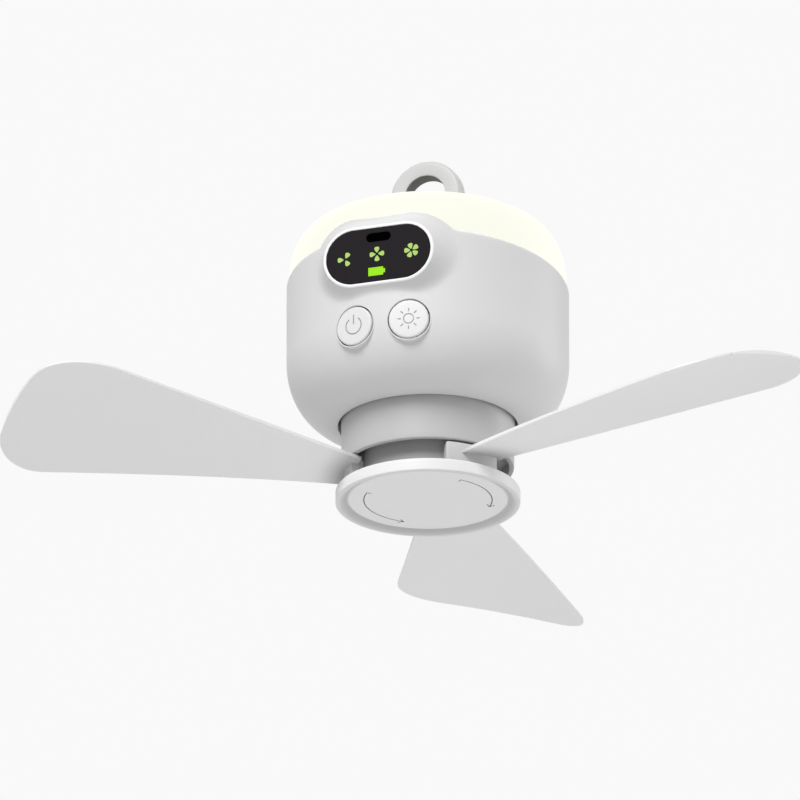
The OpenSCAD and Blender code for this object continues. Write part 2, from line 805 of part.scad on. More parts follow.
module motor_plate() {
    color("lightgray") difference() {
        union() {
            translate([0, 0, motor_plate_z + seat_gap]) cylinder(h = motor_plate_t - seat_gap, r = flange_r);
            translate([0, 0, tube_z]) cylinder(h = motor_plate_z - tube_z + 1, r = tube_r);
            for (i = [0 : 5]) rotate([0, 0, 30 + 60 * i])
                translate([tube_r - 1, -0.8, motor_plate_z - 1.6]) cube([neck_in_r - tube_r - 1, 1.6, 2]);
        }
        translate([0, 0, tube_z - 1])
            cylinder(h = motor_plate_top_z - tube_z + 2, r = tube_waist_r, $fn = 64);
        translate([0, 0, tube_z - 1]) cylinder(h = bearing_h + 1, r = bearing_r + 0.02, $fn = 64);
        translate([0, 0, motor_plate_top_z - bearing_h])
            cylinder(h = bearing_h + 1, r = bearing_r + 0.02, $fn = 64);
        for (i = [0 : 3]) rotate([0, 0, 90 * i])
            translate([motor_screw_circle, 0, motor_plate_z - 1]) cylinder(h = 4, r = pilot_r, $fn = 32);
        post_notches();
        // slot for the motor's leads
        translate([0, tube_r + 6, motor_plate_z - 3]) linear_extrude(6) pill(9, 4, $fn = 32);
    }
}

module bearing(z) {
    color("silver") translate([0, 0, z]) difference() {
        cylinder(h = bearing_h, r = bearing_r, $fn = 64);
        translate([0, 0, -1]) cylinder(h = bearing_h + 2, r = shaft_r + pin_gap, $fn = 64);
        for (end = [-1, 1]) translate([0, 0, bearing_h / 2 + end * (bearing_h / 2) - 0.3]) difference() {
            cylinder(h = 0.6, r = bearing_r - 0.8, $fn = 64);
            translate([0, 0, -1]) cylinder(h = 3, r = shaft_r + 0.8, $fn = 64);
        }
    }
}

module upper_bearing() {
    bearing(motor_plate_top_z - bearing_h);
}

module lower_bearing() {
    bearing(tube_z);
}

module stator_core() {
    color("slategray") translate([0, 0, stator_mid_z - stator_h / 2]) linear_extrude(stator_h) {
        difference() {
            circle(r = yoke_r);
            circle(r = stator_in_r);
        }
        for (i = [0 : stator_teeth - 1]) rotate(i * 360 / stator_teeth)
            translate([yoke_r - 0.3, -tooth_w / 2]) square([shoe_r - yoke_r + 0.6, tooth_w]);
        difference() {
            circle(r = stator_r);
            circle(r = shoe_r);
            for (i = [0 : stator_teeth - 1]) rotate((i + 0.5) * 360 / stator_teeth)
                translate([shoe_r - 1, -0.8]) square([4, 1.6]);
        }
    }
}

module stator_coils() {
    coil_l = shoe_r - yoke_r - 0.4;
    coil_h = stator_h + 2 * coil_t + 0.1;
    half_w = tooth_w / 2 + 0.05;
    color("chocolate") for (i = [0 : stator_teeth - 1]) rotate([0, 0, i * 360 / stator_teeth])
        translate([yoke_r + 0.2, 0, stator_mid_z]) difference() {
            translate([0, -half_w - coil_t, -coil_h / 2]) cube([coil_l, 2 * (half_w + coil_t), coil_h]);
            translate([-1, -half_w, -stator_h / 2 - 0.05]) cube([coil_l + 2, 2 * half_w, stator_h + 0.1]);
        }
}

module motor_screws() {
    color("silver") for (i = [0 : 3]) rotate([0, 0, 90 * i])
        translate([motor_screw_circle, 0, motor_plate_top_z]) screw(motor_plate_t + flange_h + 3);
}

module motor_shaft() {
    color("silver") difference() {
        translate([0, 0, shaft_bottom_z]) cylinder(h = shaft_top_z - shaft_bottom_z, r = shaft_r, $fn = 64);
        translate([0, 0, clip_z - 0.05]) difference() {
            cylinder(h = clip_t + 0.1, r = shaft_r + 1, $fn = 64);
            translate([0, 0, -1]) cylinder(h = 3, r = groove_r, $fn = 64);
        }
    }
}

module shaft_clip() {
    color("dimgray") translate([0, 0, clip_z]) difference() {
        cylinder(h = clip_t, r = shaft_r + 1.5, $fn = 64);
        translate([0, 0, -1]) cylinder(h = 3, r = groove_r + 0.02, $fn = 64);
        translate([0, -groove_r * 0.8, -1]) cube([6, groove_r * 1.6, 3]);
    }
}

module rotor_can() {
    color("darkgray") difference() {
        union() {
            difference() {
                translate([0, 0, hub_top_z + seat_gap])
                    cylinder(h = can_top_z - hub_top_z - seat_gap, r = can_r);
                translate([0, 0, can_floor_z]) cylinder(h = can_top_z - can_floor_z + 1, r = can_in_r);
            }
            translate([0, 0, can_floor_z - eps])
                cylinder(h = tube_z - can_floor_z - 0.2, r = shaft_r + 1.4, $fn = 64);
        }
        translate([0, 0, hub_top_z - 1]) cylinder(h = tube_z - hub_top_z + 2, r = shaft_r + 0.02, $fn = 64);
        for (i = [0 : 2]) rotate([0, 0, hub_screw_azimuth(i)])
            translate([hub_screw_circle, 0, hub_top_z - 1])
                cylinder(h = can_floor_t + 2, r = pilot_r, $fn = 32);
        // cooling holes
        for (i = [0 : 5]) rotate([0, 0, hub_screw_azimuth(0) + 30 + 60 * i])
            translate([cooling_circle, 0, hub_top_z - 1])
                cylinder(h = can_floor_t + 2, r = 1.8, $fn = 32);
    }
}

module rotor_magnets() {
    magnet_h = stator_h + 2;
    color("gray") translate([0, 0, stator_mid_z - magnet_h / 2]) linear_extrude(magnet_h) difference() {
        circle(r = magnet_in_r + magnet_t);
        circle(r = magnet_in_r);
        for (i = [0 : magnet_count - 1]) rotate(i * 360 / magnet_count)
            translate([magnet_in_r - 1, -0.3]) square([magnet_t + 2, 0.6]);
    }
}

// ---- Hub, blades and lock cap ----

function blade_angle(i) = blade_azimuth + i * 360 / blade_count;
function root_angle(i) = blade_angle(i) + root_block_mid;
function hub_screw_azimuth(i) = root_angle(i) + 60;

// T key of a blade's root, seen from above, pointing along +X; grown by gap it is the hub's pocket
module root_key(gap) {
    translate([key_head_in_r - gap, -key_head_w / 2 - gap])
        square([key_head_out_r - key_head_in_r + 2 * gap, key_head_w + 2 * gap]);
    translate([key_head_in_r, -key_stem_w / 2 - gap])
        square([hub_r + 2 - key_head_in_r, key_stem_w + 2 * gap]);
}

// Sector of a ring, centred on +X
module ring_sector(r0, r1, angle, h) {
    rotate([0, 0, -angle / 2]) rotate_extrude(angle = angle) translate([r0, 0]) square([r1 - r0, h]);
}

module rotor_hub() {
    color("whitesmoke") difference() {
        translate([0, 0, hub_bottom_z]) cylinder(h = hub_top_z - hub_bottom_z, r = hub_r);
        // blade pockets, open below and at the rim
        for (i = [0 : blade_count - 1]) rotate([0, 0, root_angle(i)]) translate([0, 0, hub_bottom_z - 1])
            linear_extrude(pocket_top_z - hub_bottom_z + 1) root_key(key_gap);
        // bayonet socket: mouth with three notches, chamber above it with stops between the lugs
        translate([0, 0, hub_bottom_z - 1])
            cylinder(h = lug_z - run_gap - hub_bottom_z + 1 + eps, r = spigot_r + run_gap);
        translate([0, 0, lug_z - run_gap]) cylinder(h = lug_h + 2 * run_gap, r = spigot_r + run_gap);
        for (i = [0 : 2]) rotate([0, 0, root_angle(i)]) {
            rotate([0, 0, lock_turn]) translate([0, 0, hub_bottom_z - 1])
                ring_sector(spigot_r - 1, lug_r + run_gap * 0.8, notch_angle, lug_z - hub_bottom_z + 1);
            rotate([0, 0, lock_turn / 2]) translate([0, 0, lug_z - run_gap])
                ring_sector(spigot_r - 1, lug_r + run_gap, notch_angle + lock_turn + 2, lug_h + 2 * run_gap);
        }
        // shaft and screws of the rotor
        translate([0, 0, shaft_bottom_z - 0.2])
            cylinder(h = hub_top_z - shaft_bottom_z + 1, r = shaft_r + 0.02, $fn = 64);
        for (i = [0 : 2]) rotate([0, 0, hub_screw_azimuth(i)])
            translate([hub_screw_circle, 0, hub_top_z - hub_grip - 0.2])
                cylinder(h = hub_grip + 2, r = pilot_r, $fn = 32);
    }
}

module hub_screws() {
    color("silver") for (i = [0 : 2]) rotate([0, 0, hub_screw_azimuth(i)])
        translate([hub_screw_circle, 0, can_floor_z]) screw(can_floor_t + hub_grip);
}

// Rounding at a tip corner: how far an edge draws in at a distance from the tip
function corner_inset(r, from_tip) = from_tip >= r ? 0 : r - sqrt(r * r - pow(r - from_tip, 2));

// Radii of the blade's stations: even along the span, then closer round the tip
corner_start = blade_r - max(tip_corner_lead, tip_corner_trail);
stations = concat(
    [for (i = [0 : span_steps - 1]) root_start + (corner_start - root_start) * i / span_steps],
    [for (i = [0 : corner_steps]) corner_start + (blade_r - corner_start) * sin(90 * i / corner_steps)]);

// Angles of the two edges at a radius, seen from the axis
function lead_angle(r) = -asin((edge_offset + corner_inset(tip_corner_lead, blade_r - r)) / r);
function trail_line(r) =
    let (start = root_block_r * [cos(spread_start_angle), -sin(spread_start_angle)],
        along = [cos(blade_spread), -sin(blade_spread)],
        b = start * along, c = start * start - r * r, t = -b + sqrt(max(b * b - c, 0)),
        p = start + t * along) atan2(p[1], p[0]);
function trail_angle(r) = trail_line(r) + corner_inset(tip_corner_trail, blade_r - r) / r * 180 / PI;

// Height of the blade's middle surface over a point of its plan
blade_root_z = neck_rim_z - 1.35;
function blade_z(p) =
    let (u = (p[0] - root_block_r) / (blade_r - root_block_r))
    blade_root_z + blade_rise * u + tan(blade_pitch * (1 - u * u)) * p[1]
        - p[1] * p[1] / (2 * blade_curve_r);

function blade_half_t(r, v) =
    let (u = (r - root_start) / (blade_r - root_start), t = blade_root_t + (blade_tip_t - blade_root_t) * u)
    t / 2 * (1 - 0.45 * pow(2 * v - 1, 2));

function blade_point(i, j, side) =
    let (r = stations[i], v = j / chord_steps,
        a = lead_angle(r) + (trail_angle(r) - lead_angle(r)) * v,
        p = r * [cos(a), sin(a)])
    [p[0], p[1], blade_z(p) + side * blade_half_t(r, v)];

module blade_plate() {
    rows = len(stations);
    cols = chord_steps + 1;
    layer = rows * cols;
    points = [for (side = [1, -1], i = [0 : rows - 1], j = [0 : cols - 1]) blade_point(i, j, side)];
    cells = [for (i = [0 : rows - 2], j = [0 : cols - 2]) [i * cols + j, i * cols + j + 1,
        (i + 1) * cols + j + 1, (i + 1) * cols + j]];
    rim = concat([for (j = [0 : cols - 1]) j], [for (i = [1 : rows - 1]) i * cols + cols - 1],
        [for (j = [1 : cols - 1]) (rows - 1) * cols + cols - 1 - j],
        [for (i = [1 : rows - 2]) (rows - 1 - i) * cols]);
    faces = concat(
        [for (c = cells) each [[c[0], c[2], c[1]], [c[0], c[3], c[2]]]],
        [for (c = cells) let (d = [for (k = c) k + layer]) each [[d[0], d[1], d[2]], [d[0], d[2], d[3]]]],
        [for (k = [0 : len(rim) - 1]) let (a = rim[k], b = rim[(k + 1) % len(rim)])
            each [[a, b, b + layer], [a, b + layer, a + layer]]]);
    polyhedron(points = points, faces = faces, convexity = 6);
}

module blade(i) {
    block_top_z = neck_rim_z - 0.9;
    color("gainsboro") rotate([0, 0, blade_angle(i)]) {
        blade_plate();
        rotate([0, 0, root_block_mid]) {
            translate([0, 0, hub_bottom_z])
                ring_sector(hub_r + key_gap, root_block_r, 2 * root_block_half, block_top_z - hub_bottom_z);
            translate([0, 0, hub_bottom_z])
                linear_extrude(pocket_top_z - key_gap - hub_bottom_z) root_key(0);
        }
    }
}

module blade_1() {
    blade(0);
}

module blade_2() {
    blade(1);
}

module blade_3() {
    blade(2);
}

module lock_cap() {
    cap_r = neck_r + cap_overhang;
    edge = 1.2;
    groove_in = cap_r - 4.9;
    floor_z = cap_bottom_z + 0.5;
    relief_z = cap_bottom_z + 2.5;
    color("whitesmoke") difference() {
        union() {
            rotate_extrude() polygon(concat([[0, cap_top_z], [0, floor_z], [groove_in, floor_z],
                [groove_in + 0.7, floor_z + 0.6], [groove_in + 1.8, cap_bottom_z]],
                arc_points(cap_r - edge, cap_bottom_z + edge, edge, edge, -90, 0, 6),
                arc_points(cap_r - edge / 2, cap_top_z - edge / 2, edge / 2, edge / 2, 0, 90, 4)));
            translate([0, 0, cap_top_z - eps]) cylinder(h = lug_z + lug_h - cap_top_z, r = spigot_r);
            for (i = [0 : 2]) rotate([0, 0, root_angle(i)]) translate([0, 0, lug_z])
                ring_sector(spigot_r - 1, lug_r, lug_angle, lug_h);
        }
        // hollow spigot and the ring-shaped relief under the blade roots
        translate([0, 0, relief_z]) cylinder(h = lug_z + lug_h - relief_z + 1, r = spigot_r - 2.2);
        difference() {
            translate([0, 0, relief_z]) cylinder(h = cap_h, r = hub_r + 3.5);
            translate([0, 0, cap_bottom_z]) cylinder(h = 2 * cap_h, r = key_head_out_r + 2);
            for (i = [0 : 11]) rotate([0, 0, 30 * i]) translate([0, -0.7, cap_bottom_z])
                cube([cap_r - 2, 1.4, 2 * cap_h]);
        }
    }
}

hang_ring();
ring_pin();
hanger_seat();
hanger_screw();
light_dome();
light_plate();
light_board();
lamp_chips();
light_plate_screws();
lower_shell();
display_lens();
receiver_window();
display_light_box();
front_board();
display_leds();
remote_receiver();
tact_switches();
power_button();
light_button();
front_board_screws();
main_board();
usb_c_socket();
main_board_screws();
battery_tray();
battery_cells();
cell_straps();
tray_screws();
motor_cover();
motor_plate();
upper_bearing();
lower_bearing();
stator_core();
stator_coils();
motor_screws();
motor_shaft();
shaft_clip();
rotor_can();
rotor_magnets();
rotor_hub();
hub_screws();
blade_1();
blade_2();
blade_3();
lock_cap();
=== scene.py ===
# Hanging camping fan: its looks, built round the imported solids
import bmesh
import bpy
import json
import math
from mathutils import Matrix, Vector


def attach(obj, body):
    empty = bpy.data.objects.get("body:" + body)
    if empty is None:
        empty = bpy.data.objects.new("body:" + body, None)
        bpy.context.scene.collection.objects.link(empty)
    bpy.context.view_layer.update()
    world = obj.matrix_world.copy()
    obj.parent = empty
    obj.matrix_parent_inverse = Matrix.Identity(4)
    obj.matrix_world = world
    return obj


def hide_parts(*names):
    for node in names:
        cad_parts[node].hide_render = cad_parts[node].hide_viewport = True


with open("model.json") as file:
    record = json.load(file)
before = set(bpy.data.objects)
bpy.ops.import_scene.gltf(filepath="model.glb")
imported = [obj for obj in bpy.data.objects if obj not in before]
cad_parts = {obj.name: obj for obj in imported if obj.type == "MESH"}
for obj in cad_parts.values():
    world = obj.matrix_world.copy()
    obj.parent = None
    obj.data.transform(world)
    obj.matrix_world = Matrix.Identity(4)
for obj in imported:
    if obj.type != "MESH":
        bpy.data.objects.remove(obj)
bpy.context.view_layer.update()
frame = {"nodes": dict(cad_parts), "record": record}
nodes = frame["nodes"]
print("frame loaded:", len(nodes), "nodes")

mm = 0.001
tiny = 1e-6

# radii and levels of the body and the display, in millimetres
body = {
    "radius": 56.0, "wall": 2.2, "domeTop": -12.4, "domeBase": -37.0, "domeCorner": 22.8,
    "domeInset": 1.0,    # step from the shell's side to the dome's
    "domeFullness": 2.3, "domeWall": 2.0, "seam": -39.5, "seamTilt": 5.3, "cornerTop": -71.0,
    "cornerWidth": 21.0, "floor": -97.5, "land": -92.0, "openingRadius": 35.6, "columns": 288,
}
display = {
    "centre": -45.8, "face": 58.6, "glassWidth": 43.6, "glassHeight": 22.7,
    "glassThickness": 2.0, "glassRounding": 0.15, "recess": 0.3, "rim": 1.35, "ledge": 1.8,
    "skirt": 1.64,       # spread of the surround's foot, least
    "skirtSlope": 0.83,  # and how much it grows with the depth of the wall behind the face
    "footEnd": 0.05,     # a lower foot counts as run out
    "seamGap": 0.3, "seamBlend": 2.0,
}


def feed(tree, socket, value):
    if isinstance(value, bpy.types.NodeSocket):
        tree.links.new(value, socket)
    else:
        socket.default_value = value


def dress(tree, node, values):
    for label, value in values.items():
        feed(tree, node.inputs[label], value)


def addNode(tree, kind, **settings):
    node = tree.nodes.new("ShaderNode" + kind)
    for name, value in settings.items():
        setattr(node, name, value)
    return node


def objectPlace(tree, stretch=None):
    coords = addNode(tree, "TexCoord").outputs["Object"]
    if not stretch:
        return coords
    mapping = addNode(tree, "Mapping")
    dress(tree, mapping, {"Vector": coords, "Scale": stretch})
    return mapping.outputs["Vector"]


def addMaths(tree, operation, first, second):
    node = addNode(tree, "Math", operation=operation)
    feed(tree, node.inputs[0], first)
    feed(tree, node.inputs[1], second)
    return node.outputs[0]


def addNoise(tree, coords, scale, detail=3.0, roughness=0.55):
    node = addNode(tree, "TexNoise")
    dress(tree, node, {"Vector": coords, "Scale": scale, "Detail": detail, "Roughness": roughness})
    return node.outputs["Fac"]


def addBump(tree, height, strength, distance=0.0002):
    node = addNode(tree, "Bump")
    dress(tree, node, {"Height": height, "Strength": strength, "Distance": distance})
    return node.outputs["Normal"]


def addMix(tree, factor, first, second, blend="MIX"):
    node = addNode(tree, "Mix", data_type="RGBA", blend_type=blend)
    for index, value in ((0, factor), (6, first), (7, second)):
        feed(tree, node.inputs[index], value)
    return node.outputs[2]


# how far a gloss strays to both sides of its middle with a pattern
def strayed(tree, gloss, pattern, spread):
    away = addMaths(tree, "SUBTRACT", pattern, 0.5)
    return addMaths(tree, "ADD", gloss, addMaths(tree, "MULTIPLY", away, spread))


# a group with a surface's three outputs
def newGroup(name, given):
    group = bpy.data.node_groups.new(name, "ShaderNodeTree")
    for label, value in given.items():
        kind = "Color" if isinstance(value, tuple) else "Float"
        socket = group.interface.new_socket(name=label, in_out="INPUT", socket_type="NodeSocket" + kind)
        socket.default_value = value
    for label, kind in (("Colour", "Color"), ("Roughness", "Float"), ("Normal", "Vector")):
        group.interface.new_socket(name=label, in_out="OUTPUT", socket_type="NodeSocket" + kind)
    return group, group.nodes.new("NodeGroupInput").outputs, group.nodes.new("NodeGroupOutput")


# fine moulded grain with a faint change of tone, for every plastic
grained = {
    "grainDetail": 3.0, "cloudScale": 36.0, "speckScale": 900.0, "softDetail": 2.0,
    "cloudShare": 0.7, "glossSpread": 0.16,
}


def buildMouldGroup():
    tree, given, end = newGroup("mouldedSurface", {
        "Colour": (0.8, 0.8, 0.8, 1), "Grain": 2600.0, "Relief": 0.1, "Tone": 0.04, "Gloss": 0.4})
    coords, share = objectPlace(tree), grained["cloudShare"]
    grain = addNoise(tree, coords, given["Grain"], grained["grainDetail"])
    cloud = addNoise(tree, coords, grained["cloudScale"], grained["softDetail"])
    specks = addNoise(tree, coords, grained["speckScale"], grained["softDetail"])
    shade = addMaths(tree, "ADD", addMaths(tree, "MULTIPLY", cloud, share),
                     addMaths(tree, "MULTIPLY", specks, 1 - share))
    dress(tree, end, {
        "Colour": addMix(tree, given["Tone"], given["Colour"], shade, "MULTIPLY"),
        "Roughness": strayed(tree, given["Gloss"], specks, grained["glossSpread"]),
        "Normal": addBump(tree, grain, given["Relief"])})
    return tree


# fine turned or drawn lines, for every metal
lined = {
    "stretch": (0.15, 0.15, 3.0), "stainScale": 120.0, "stainDetail": 4.0, "stainTone": 0.22,
    "glossSpread": 0.3,
}


def buildMetalGroup():
    tree, given, end = newGroup("drawnMetal", {
        "Colour": (0.7, 0.7, 0.7, 1), "Lines": 900.0, "Relief": 0.1, "Gloss": 0.3})
    lines = addNoise(tree, objectPlace(tree, lined["stretch"]), given["Lines"])
    stain = addNoise(tree, objectPlace(tree), lined["stainScale"], lined["stainDetail"])
    dress(tree, end, {
        "Colour": addMix(tree, lined["stainTone"], given["Colour"], stain, "MULTIPLY"),
        "Roughness": strayed(tree, given["Gloss"], stain, lined["glossSpread"]),
        "Normal": addBump(tree, lines, given["Relief"])})
    return tree


mouldGroup = buildMouldGroup()
metalGroup = buildMetalGroup()
finish = {}


def addFinish(name):
    material = finish[name] = bpy.data.materials.new(name)
    material.use_nodes = True
    return material.node_tree, material.node_tree.nodes["Principled BSDF"]


def surfaced(name, group, values, looks):
    tree, shader = addFinish(name)
    surface = addNode(tree, "Group", node_tree=group)
    dress(tree, surface, values)
    dress(tree, shader, {
        "Base Color": surface.outputs["Colour"], "Roughness": surface.outputs["Roughness"],
        "Normal": surface.outputs["Normal"], **looks})
    return tree, shader


def moulded(name, colour, gloss=0.42, grain=2600.0, relief=0.1, tone=0.04, specular=0.4):
    values = {"Colour": (*colour, 1), "Grain": grain, "Relief": relief, "Tone": tone, "Gloss": gloss}
    return surfaced(name, mouldGroup, values, {"Specular IOR Level": specular})


def metal(name, colour, gloss=0.3, lines=900.0, relief=0.1):
    values = {"Colour": (*colour, 1), "Lines": lines, "Relief": relief, "Gloss": gloss}
    surfaced(name, metalGroup, values, {"Metallic": 1.0})


# the same plastic darkened by a soft painted shade round the axis, standing in for shadow: the shade's
# inner edge, its deepest line and its outer edge
def paintedShadeRound(name, colour, edges, shade, **look):
    tree, shader = moulded(name, colour, **look)
    base = shader.inputs["Base Color"]
    flat = addNode(tree, "VectorMath", operation="MULTIPLY")
    feed(tree, flat.inputs[0], objectPlace(tree))
    feed(tree, flat.inputs[1], (1, 1, 0))
    reach = addNode(tree, "VectorMath", operation="LENGTH")
    feed(tree, reach.inputs[0], flat.outputs["Vector"])
    bands = []
    for edge in (edges[0], edges[2]):
        band = addNode(tree, "MapRange", interpolation_type="SMOOTHSTEP")
        dress(tree, band, {
            "Value": reach.outputs["Value"], "From Min": edge * mm, "From Max": edges[1] * mm})
        bands.append(band.outputs["Result"])
    mask = addMaths(tree, "MULTIPLY", addMaths(tree, "MINIMUM", *bands), shade)
    feed(tree, base, addMix(tree, mask, base.links[0].from_socket, (0, 0, 0, 1)))


def lit(name, colour, glow, strength, gloss=0.4, specular=0.3):
    tree, shader = moulded(name, colour, gloss=gloss, relief=0.05, tone=0.03, specular=specular)
    dress(tree, shader, {"Emission Color": (*glow, 1), "Emission Strength": strength})


# board lacquer over copper tracks, with tinned pads; pattern, scale and width of both
board = {
    "lacquer": (0.012, 0.11, 0.045, 1), "overTrack": (0.03, 0.2, 0.09, 1), "tin": (0.55, 0.53, 0.48, 1),
    "tracks": ("DISTANCE_TO_EDGE", 320.0, 0.12), "pads": ("F1", 260.0, 0.2),
    "gloss": 0.35, "relief": 0.4, "trackHeight": 0.00005,
}


def boardMask(tree, feature, scale, width):
    pattern = addNode(tree, "TexVoronoi", feature=feature)
    dress(tree, pattern, {"Vector": objectPlace(tree), "Scale": scale})
    return addMaths(tree, "LESS_THAN", pattern.outputs["Distance"], width)


def boardFinish(name):
    tree, shader = addFinish(name)
    onTrack, onPad = boardMask(tree, *board["tracks"]), boardMask(tree, *board["pads"])
    lacquer = addMix(tree, onTrack, board["lacquer"], board["overTrack"])
    dress(tree, shader, {
        "Base Color": addMix(tree, onPad, lacquer, board["tin"]), "Metallic": onPad,
        "Roughness": board["gloss"],
        "Normal": addBump(tree, onTrack, board["relief"], board["trackHeight"])})


# enamelled wire laid turn by turn
winding = {
    "scale": 380.0, "waver": 0.4, "between": (0.2, 0.06, 0.02, 1), "wire": (0.62, 0.25, 0.09, 1),
    "relief": 0.8, "metallic": 0.7, "gloss": 0.32,
}


def windingFinish(name):
    tree, shader = addFinish(name)
    turns = addNode(tree, "TexWave", wave_type="RINGS", rings_direction="Z")
    dress(tree, turns, {
        "Vector": objectPlace(tree), "Scale": winding["scale"], "Distortion": winding["waver"]})
    dress(tree, shader, {
        "Base Color": addMix(tree, turns.outputs["Fac"], winding["between"], winding["wire"]),
        "Normal": addBump(tree, turns.outputs["Fac"], winding["relief"]),
        "Metallic": winding["metallic"], "Roughness": winding["gloss"]})


# heat-shrunk sleeve with fine wrinkles
sleeve = {
    "stretch": (0.4, 3.0, 3.0), "scale": 160.0, "detail": 2.0, "dark": (0.02, 0.08, 0.3, 1),
    "bright": (0.03, 0.12, 0.42, 1), "relief": 0.4, "depth": 0.0003, "gloss": 0.28, "coat": 0.4,
}


def sleeveFinish(name):
    tree, shader = addFinish(name)
    wrinkles = addNoise(tree, objectPlace(tree, sleeve["stretch"]), sleeve["scale"], sleeve["detail"])
    dress(tree, shader, {
        "Base Color": addMix(tree, wrinkles, sleeve["dark"], sleeve["bright"]),
        "Normal": addBump(tree, wrinkles, sleeve["relief"], sleeve["depth"]),
        "Roughness": sleeve["gloss"], "Coat Weight": sleeve["coat"]})


def grey(tone):
    return (tone, tone, tone)


moulded("shellWhite", grey(0.72), gloss=0.46, relief=0.06, tone=0.03, specular=0.3)
# a brighter copy of the shell's white for the rim round the display glass, as painted highlight
moulded("rimPaintedHighlight", grey(0.93), gloss=0.3, relief=0.03, tone=0.02, specular=0.4)
moulded("buttonWhite", grey(0.76), gloss=0.38, relief=0.05, tone=0.02, specular=0.35)
moulded("neckWhite", grey(0.52), gloss=0.42, relief=0.08, tone=0.03, specular=0.3)
moulded("hubGrey", grey(0.40), gloss=0.5, relief=0.1, tone=0.05, specular=0.25)
# painted shade: the blades darken towards their roots, and the cap round the groove of its face and up
# its side
paintedShadeRound("bladeWhite", grey(0.91), (20.0, 31.0, 46.0), 0.38,
        gloss=0.55, grain=1800.0, relief=0.12, tone=0.04, specular=0.25)
paintedShadeRound("capWhite", grey(0.88), (31.4, 32.2, 38.0), 0.34,
        gloss=0.44, relief=0.07, tone=0.03, specular=0.3)
moulded("ringGrey", grey(0.60), gloss=0.4, relief=0.08, tone=0.04, specular=0.35)
# painted shade for the inside of the hanging ring's eye
moulded("ringPaintedShade", grey(0.14), gloss=0.6, relief=0.12, tone=0.05, specular=0.15)
lit("domeOpal", (0.04, 0.04, 0.034), (0.975, 0.985, 0.87), 0.945, gloss=0.5, specular=0.1)
moulded("glassBlack", (0.011, 0.009, 0.011),
        gloss=0.35, grain=600.0, relief=0.01, tone=0.15, specular=0.08)
moulded("irBlack", (0.0007, 0.0006, 0.0007), gloss=0.5, relief=0.01, tone=0.1, specular=0.0)
lit("iconGreen", (0.05, 0.1, 0.02), (0.43, 0.60, 0.17), 1.0, specular=0.02)
lit("batteryGreen", (0.03, 0.1, 0.01), (0.33, 0.74, 0.012), 1.0, specular=0.02)
moulded("markGrey", grey(0.12), gloss=0.5, relief=0.05, tone=0.1)
moulded("signGrey", grey(0.42), gloss=0.5, relief=0.05, tone=0.1)
moulded("innerWhite", grey(0.86), gloss=0.5, relief=0.1, tone=0.05)
moulded("innerBlack", (0.014, 0.014, 0.016), gloss=0.45, relief=0.2, tone=0.2)
lit("lampYellow", (0.85, 0.62, 0.12), (1.0, 0.85, 0.5), 1.5)
lit("chipGreen", (0.3, 0.7, 0.1), (0.3, 1.0, 0.1), 1.2)
boardFinish("boardGreen")
sleeveFinish("cellBlue")
metal("brightSteel", (0.62, 0.62, 0.63), gloss=0.26)
metal("motorAlloy", (0.52, 0.52, 0.53), gloss=0.42, lines=300.0, relief=0.25)
metal("motorSteel", (0.2, 0.2, 0.21), gloss=0.38, lines=2200.0, relief=0.35)
windingFinish("windingCopper")
finishOfSlot = {
    "shell_white": "shellWhite", "neck_white": "neckWhite", "blade_white": "bladeWhite",
    "ring_grey": "ringGrey", "dome_opal": "domeOpal", "display_black": "glassBlack",
    "inner_white": "innerWhite", "lamp_yellow": "lampYellow", "icon_green": "chipGreen",
    "board_green": "boardGreen", "inner_black": "innerBlack", "cell_blue": "cellBlue",
    "bright_steel": "brightSteel", "motor_alloy": "motorAlloy", "motor_steel": "motorSteel",
    "winding_copper": "windingCopper",
}
print("materials made:", len(finish))


def outward(bm):
    bmesh.ops.recalc_face_normals(bm, faces=bm.faces)
    return bm


def spun(profile, steps):
    bm = bmesh.new()
    verts = [bm.verts.new((r, 0, z)) for r, z in profile]
    hollow = profile[0][0] > tiny or profile[-1][0] > tiny
    ends = len(verts) if hollow else len(verts) - 1
    edges = [bm.edges.new((verts[i], verts[(i + 1) % len(verts)])) for i in range(ends)]
    bmesh.ops.spin(bm, geom=verts + edges, cent=(0, 0, 0), axis=(0, 0, 1), angle=math.tau, steps=steps,
                   use_merge=True)
    bmesh.ops.remove_doubles(bm, verts=bm.verts, dist=1e-4)
    return outward(bm)


def arc(cx, cz, a, b, start, stop, steps):
    turns = [math.radians(start + (stop - start) * i / steps) for i in range(steps + 1)]
    return [(cx + a * math.cos(t), cz + b * math.sin(t)) for t in turns]


def circle(radius, steps):
    return arc(0, 0, radius, radius, 0, 360 - 360 / steps, steps - 1)


# outline of a flat band round the middle
def band(inner, outer, start, stop, steps):
    return arc(0, 0, outer, outer, start, stop, steps) + arc(0, 0, inner, inner, stop, start, steps)


# a quarter of the dome's fuller curve, from the side up to the top
def fullArc(cx, cz, a, b, steps):
    power = 2 / body["domeFullness"]
    turns = [math.pi / 2 * i / steps for i in range(steps + 1)]
    return [(cx + a * max(math.cos(t), 0.0) ** power, cz + b * math.sin(t) ** power) for t in turns]


def line(first, last, steps):
    return [tuple(a + (b - a) * i / steps for a, b in zip(first, last)) for i in range(1, steps)]


def pill(width, height, turnSteps=20):
    r, c = height / 2, (width - height) / 2
    return arc(c, 0, r, r, -90, 90, turnSteps) + arc(-c, 0, r, r, 90, 270, turnSteps)


# local X to the right, Y up and Z out of the body, at an angle from the front
def facing(angle, height):
    a = math.radians(angle)
    return Matrix((
        (math.cos(a), 0, math.sin(a), 0), (math.sin(a), 0, -math.cos(a), 0),
        (0, 1, 0, height), (0, 0, 0, 1)))


def moved(x, y, z=0):
    return Matrix.Translation((x, y, z))


def turned(angle):
    return Matrix.Rotation(math.radians(angle), 4, "Z")


def corners(x, y):
    return [moved(sx * x, sy * y) for sx in (-1, 1) for sy in (-1, 1)]


def quarters(radius):
    return [turned(90 * i) @ moved(radius, 0) for i in range(4)]


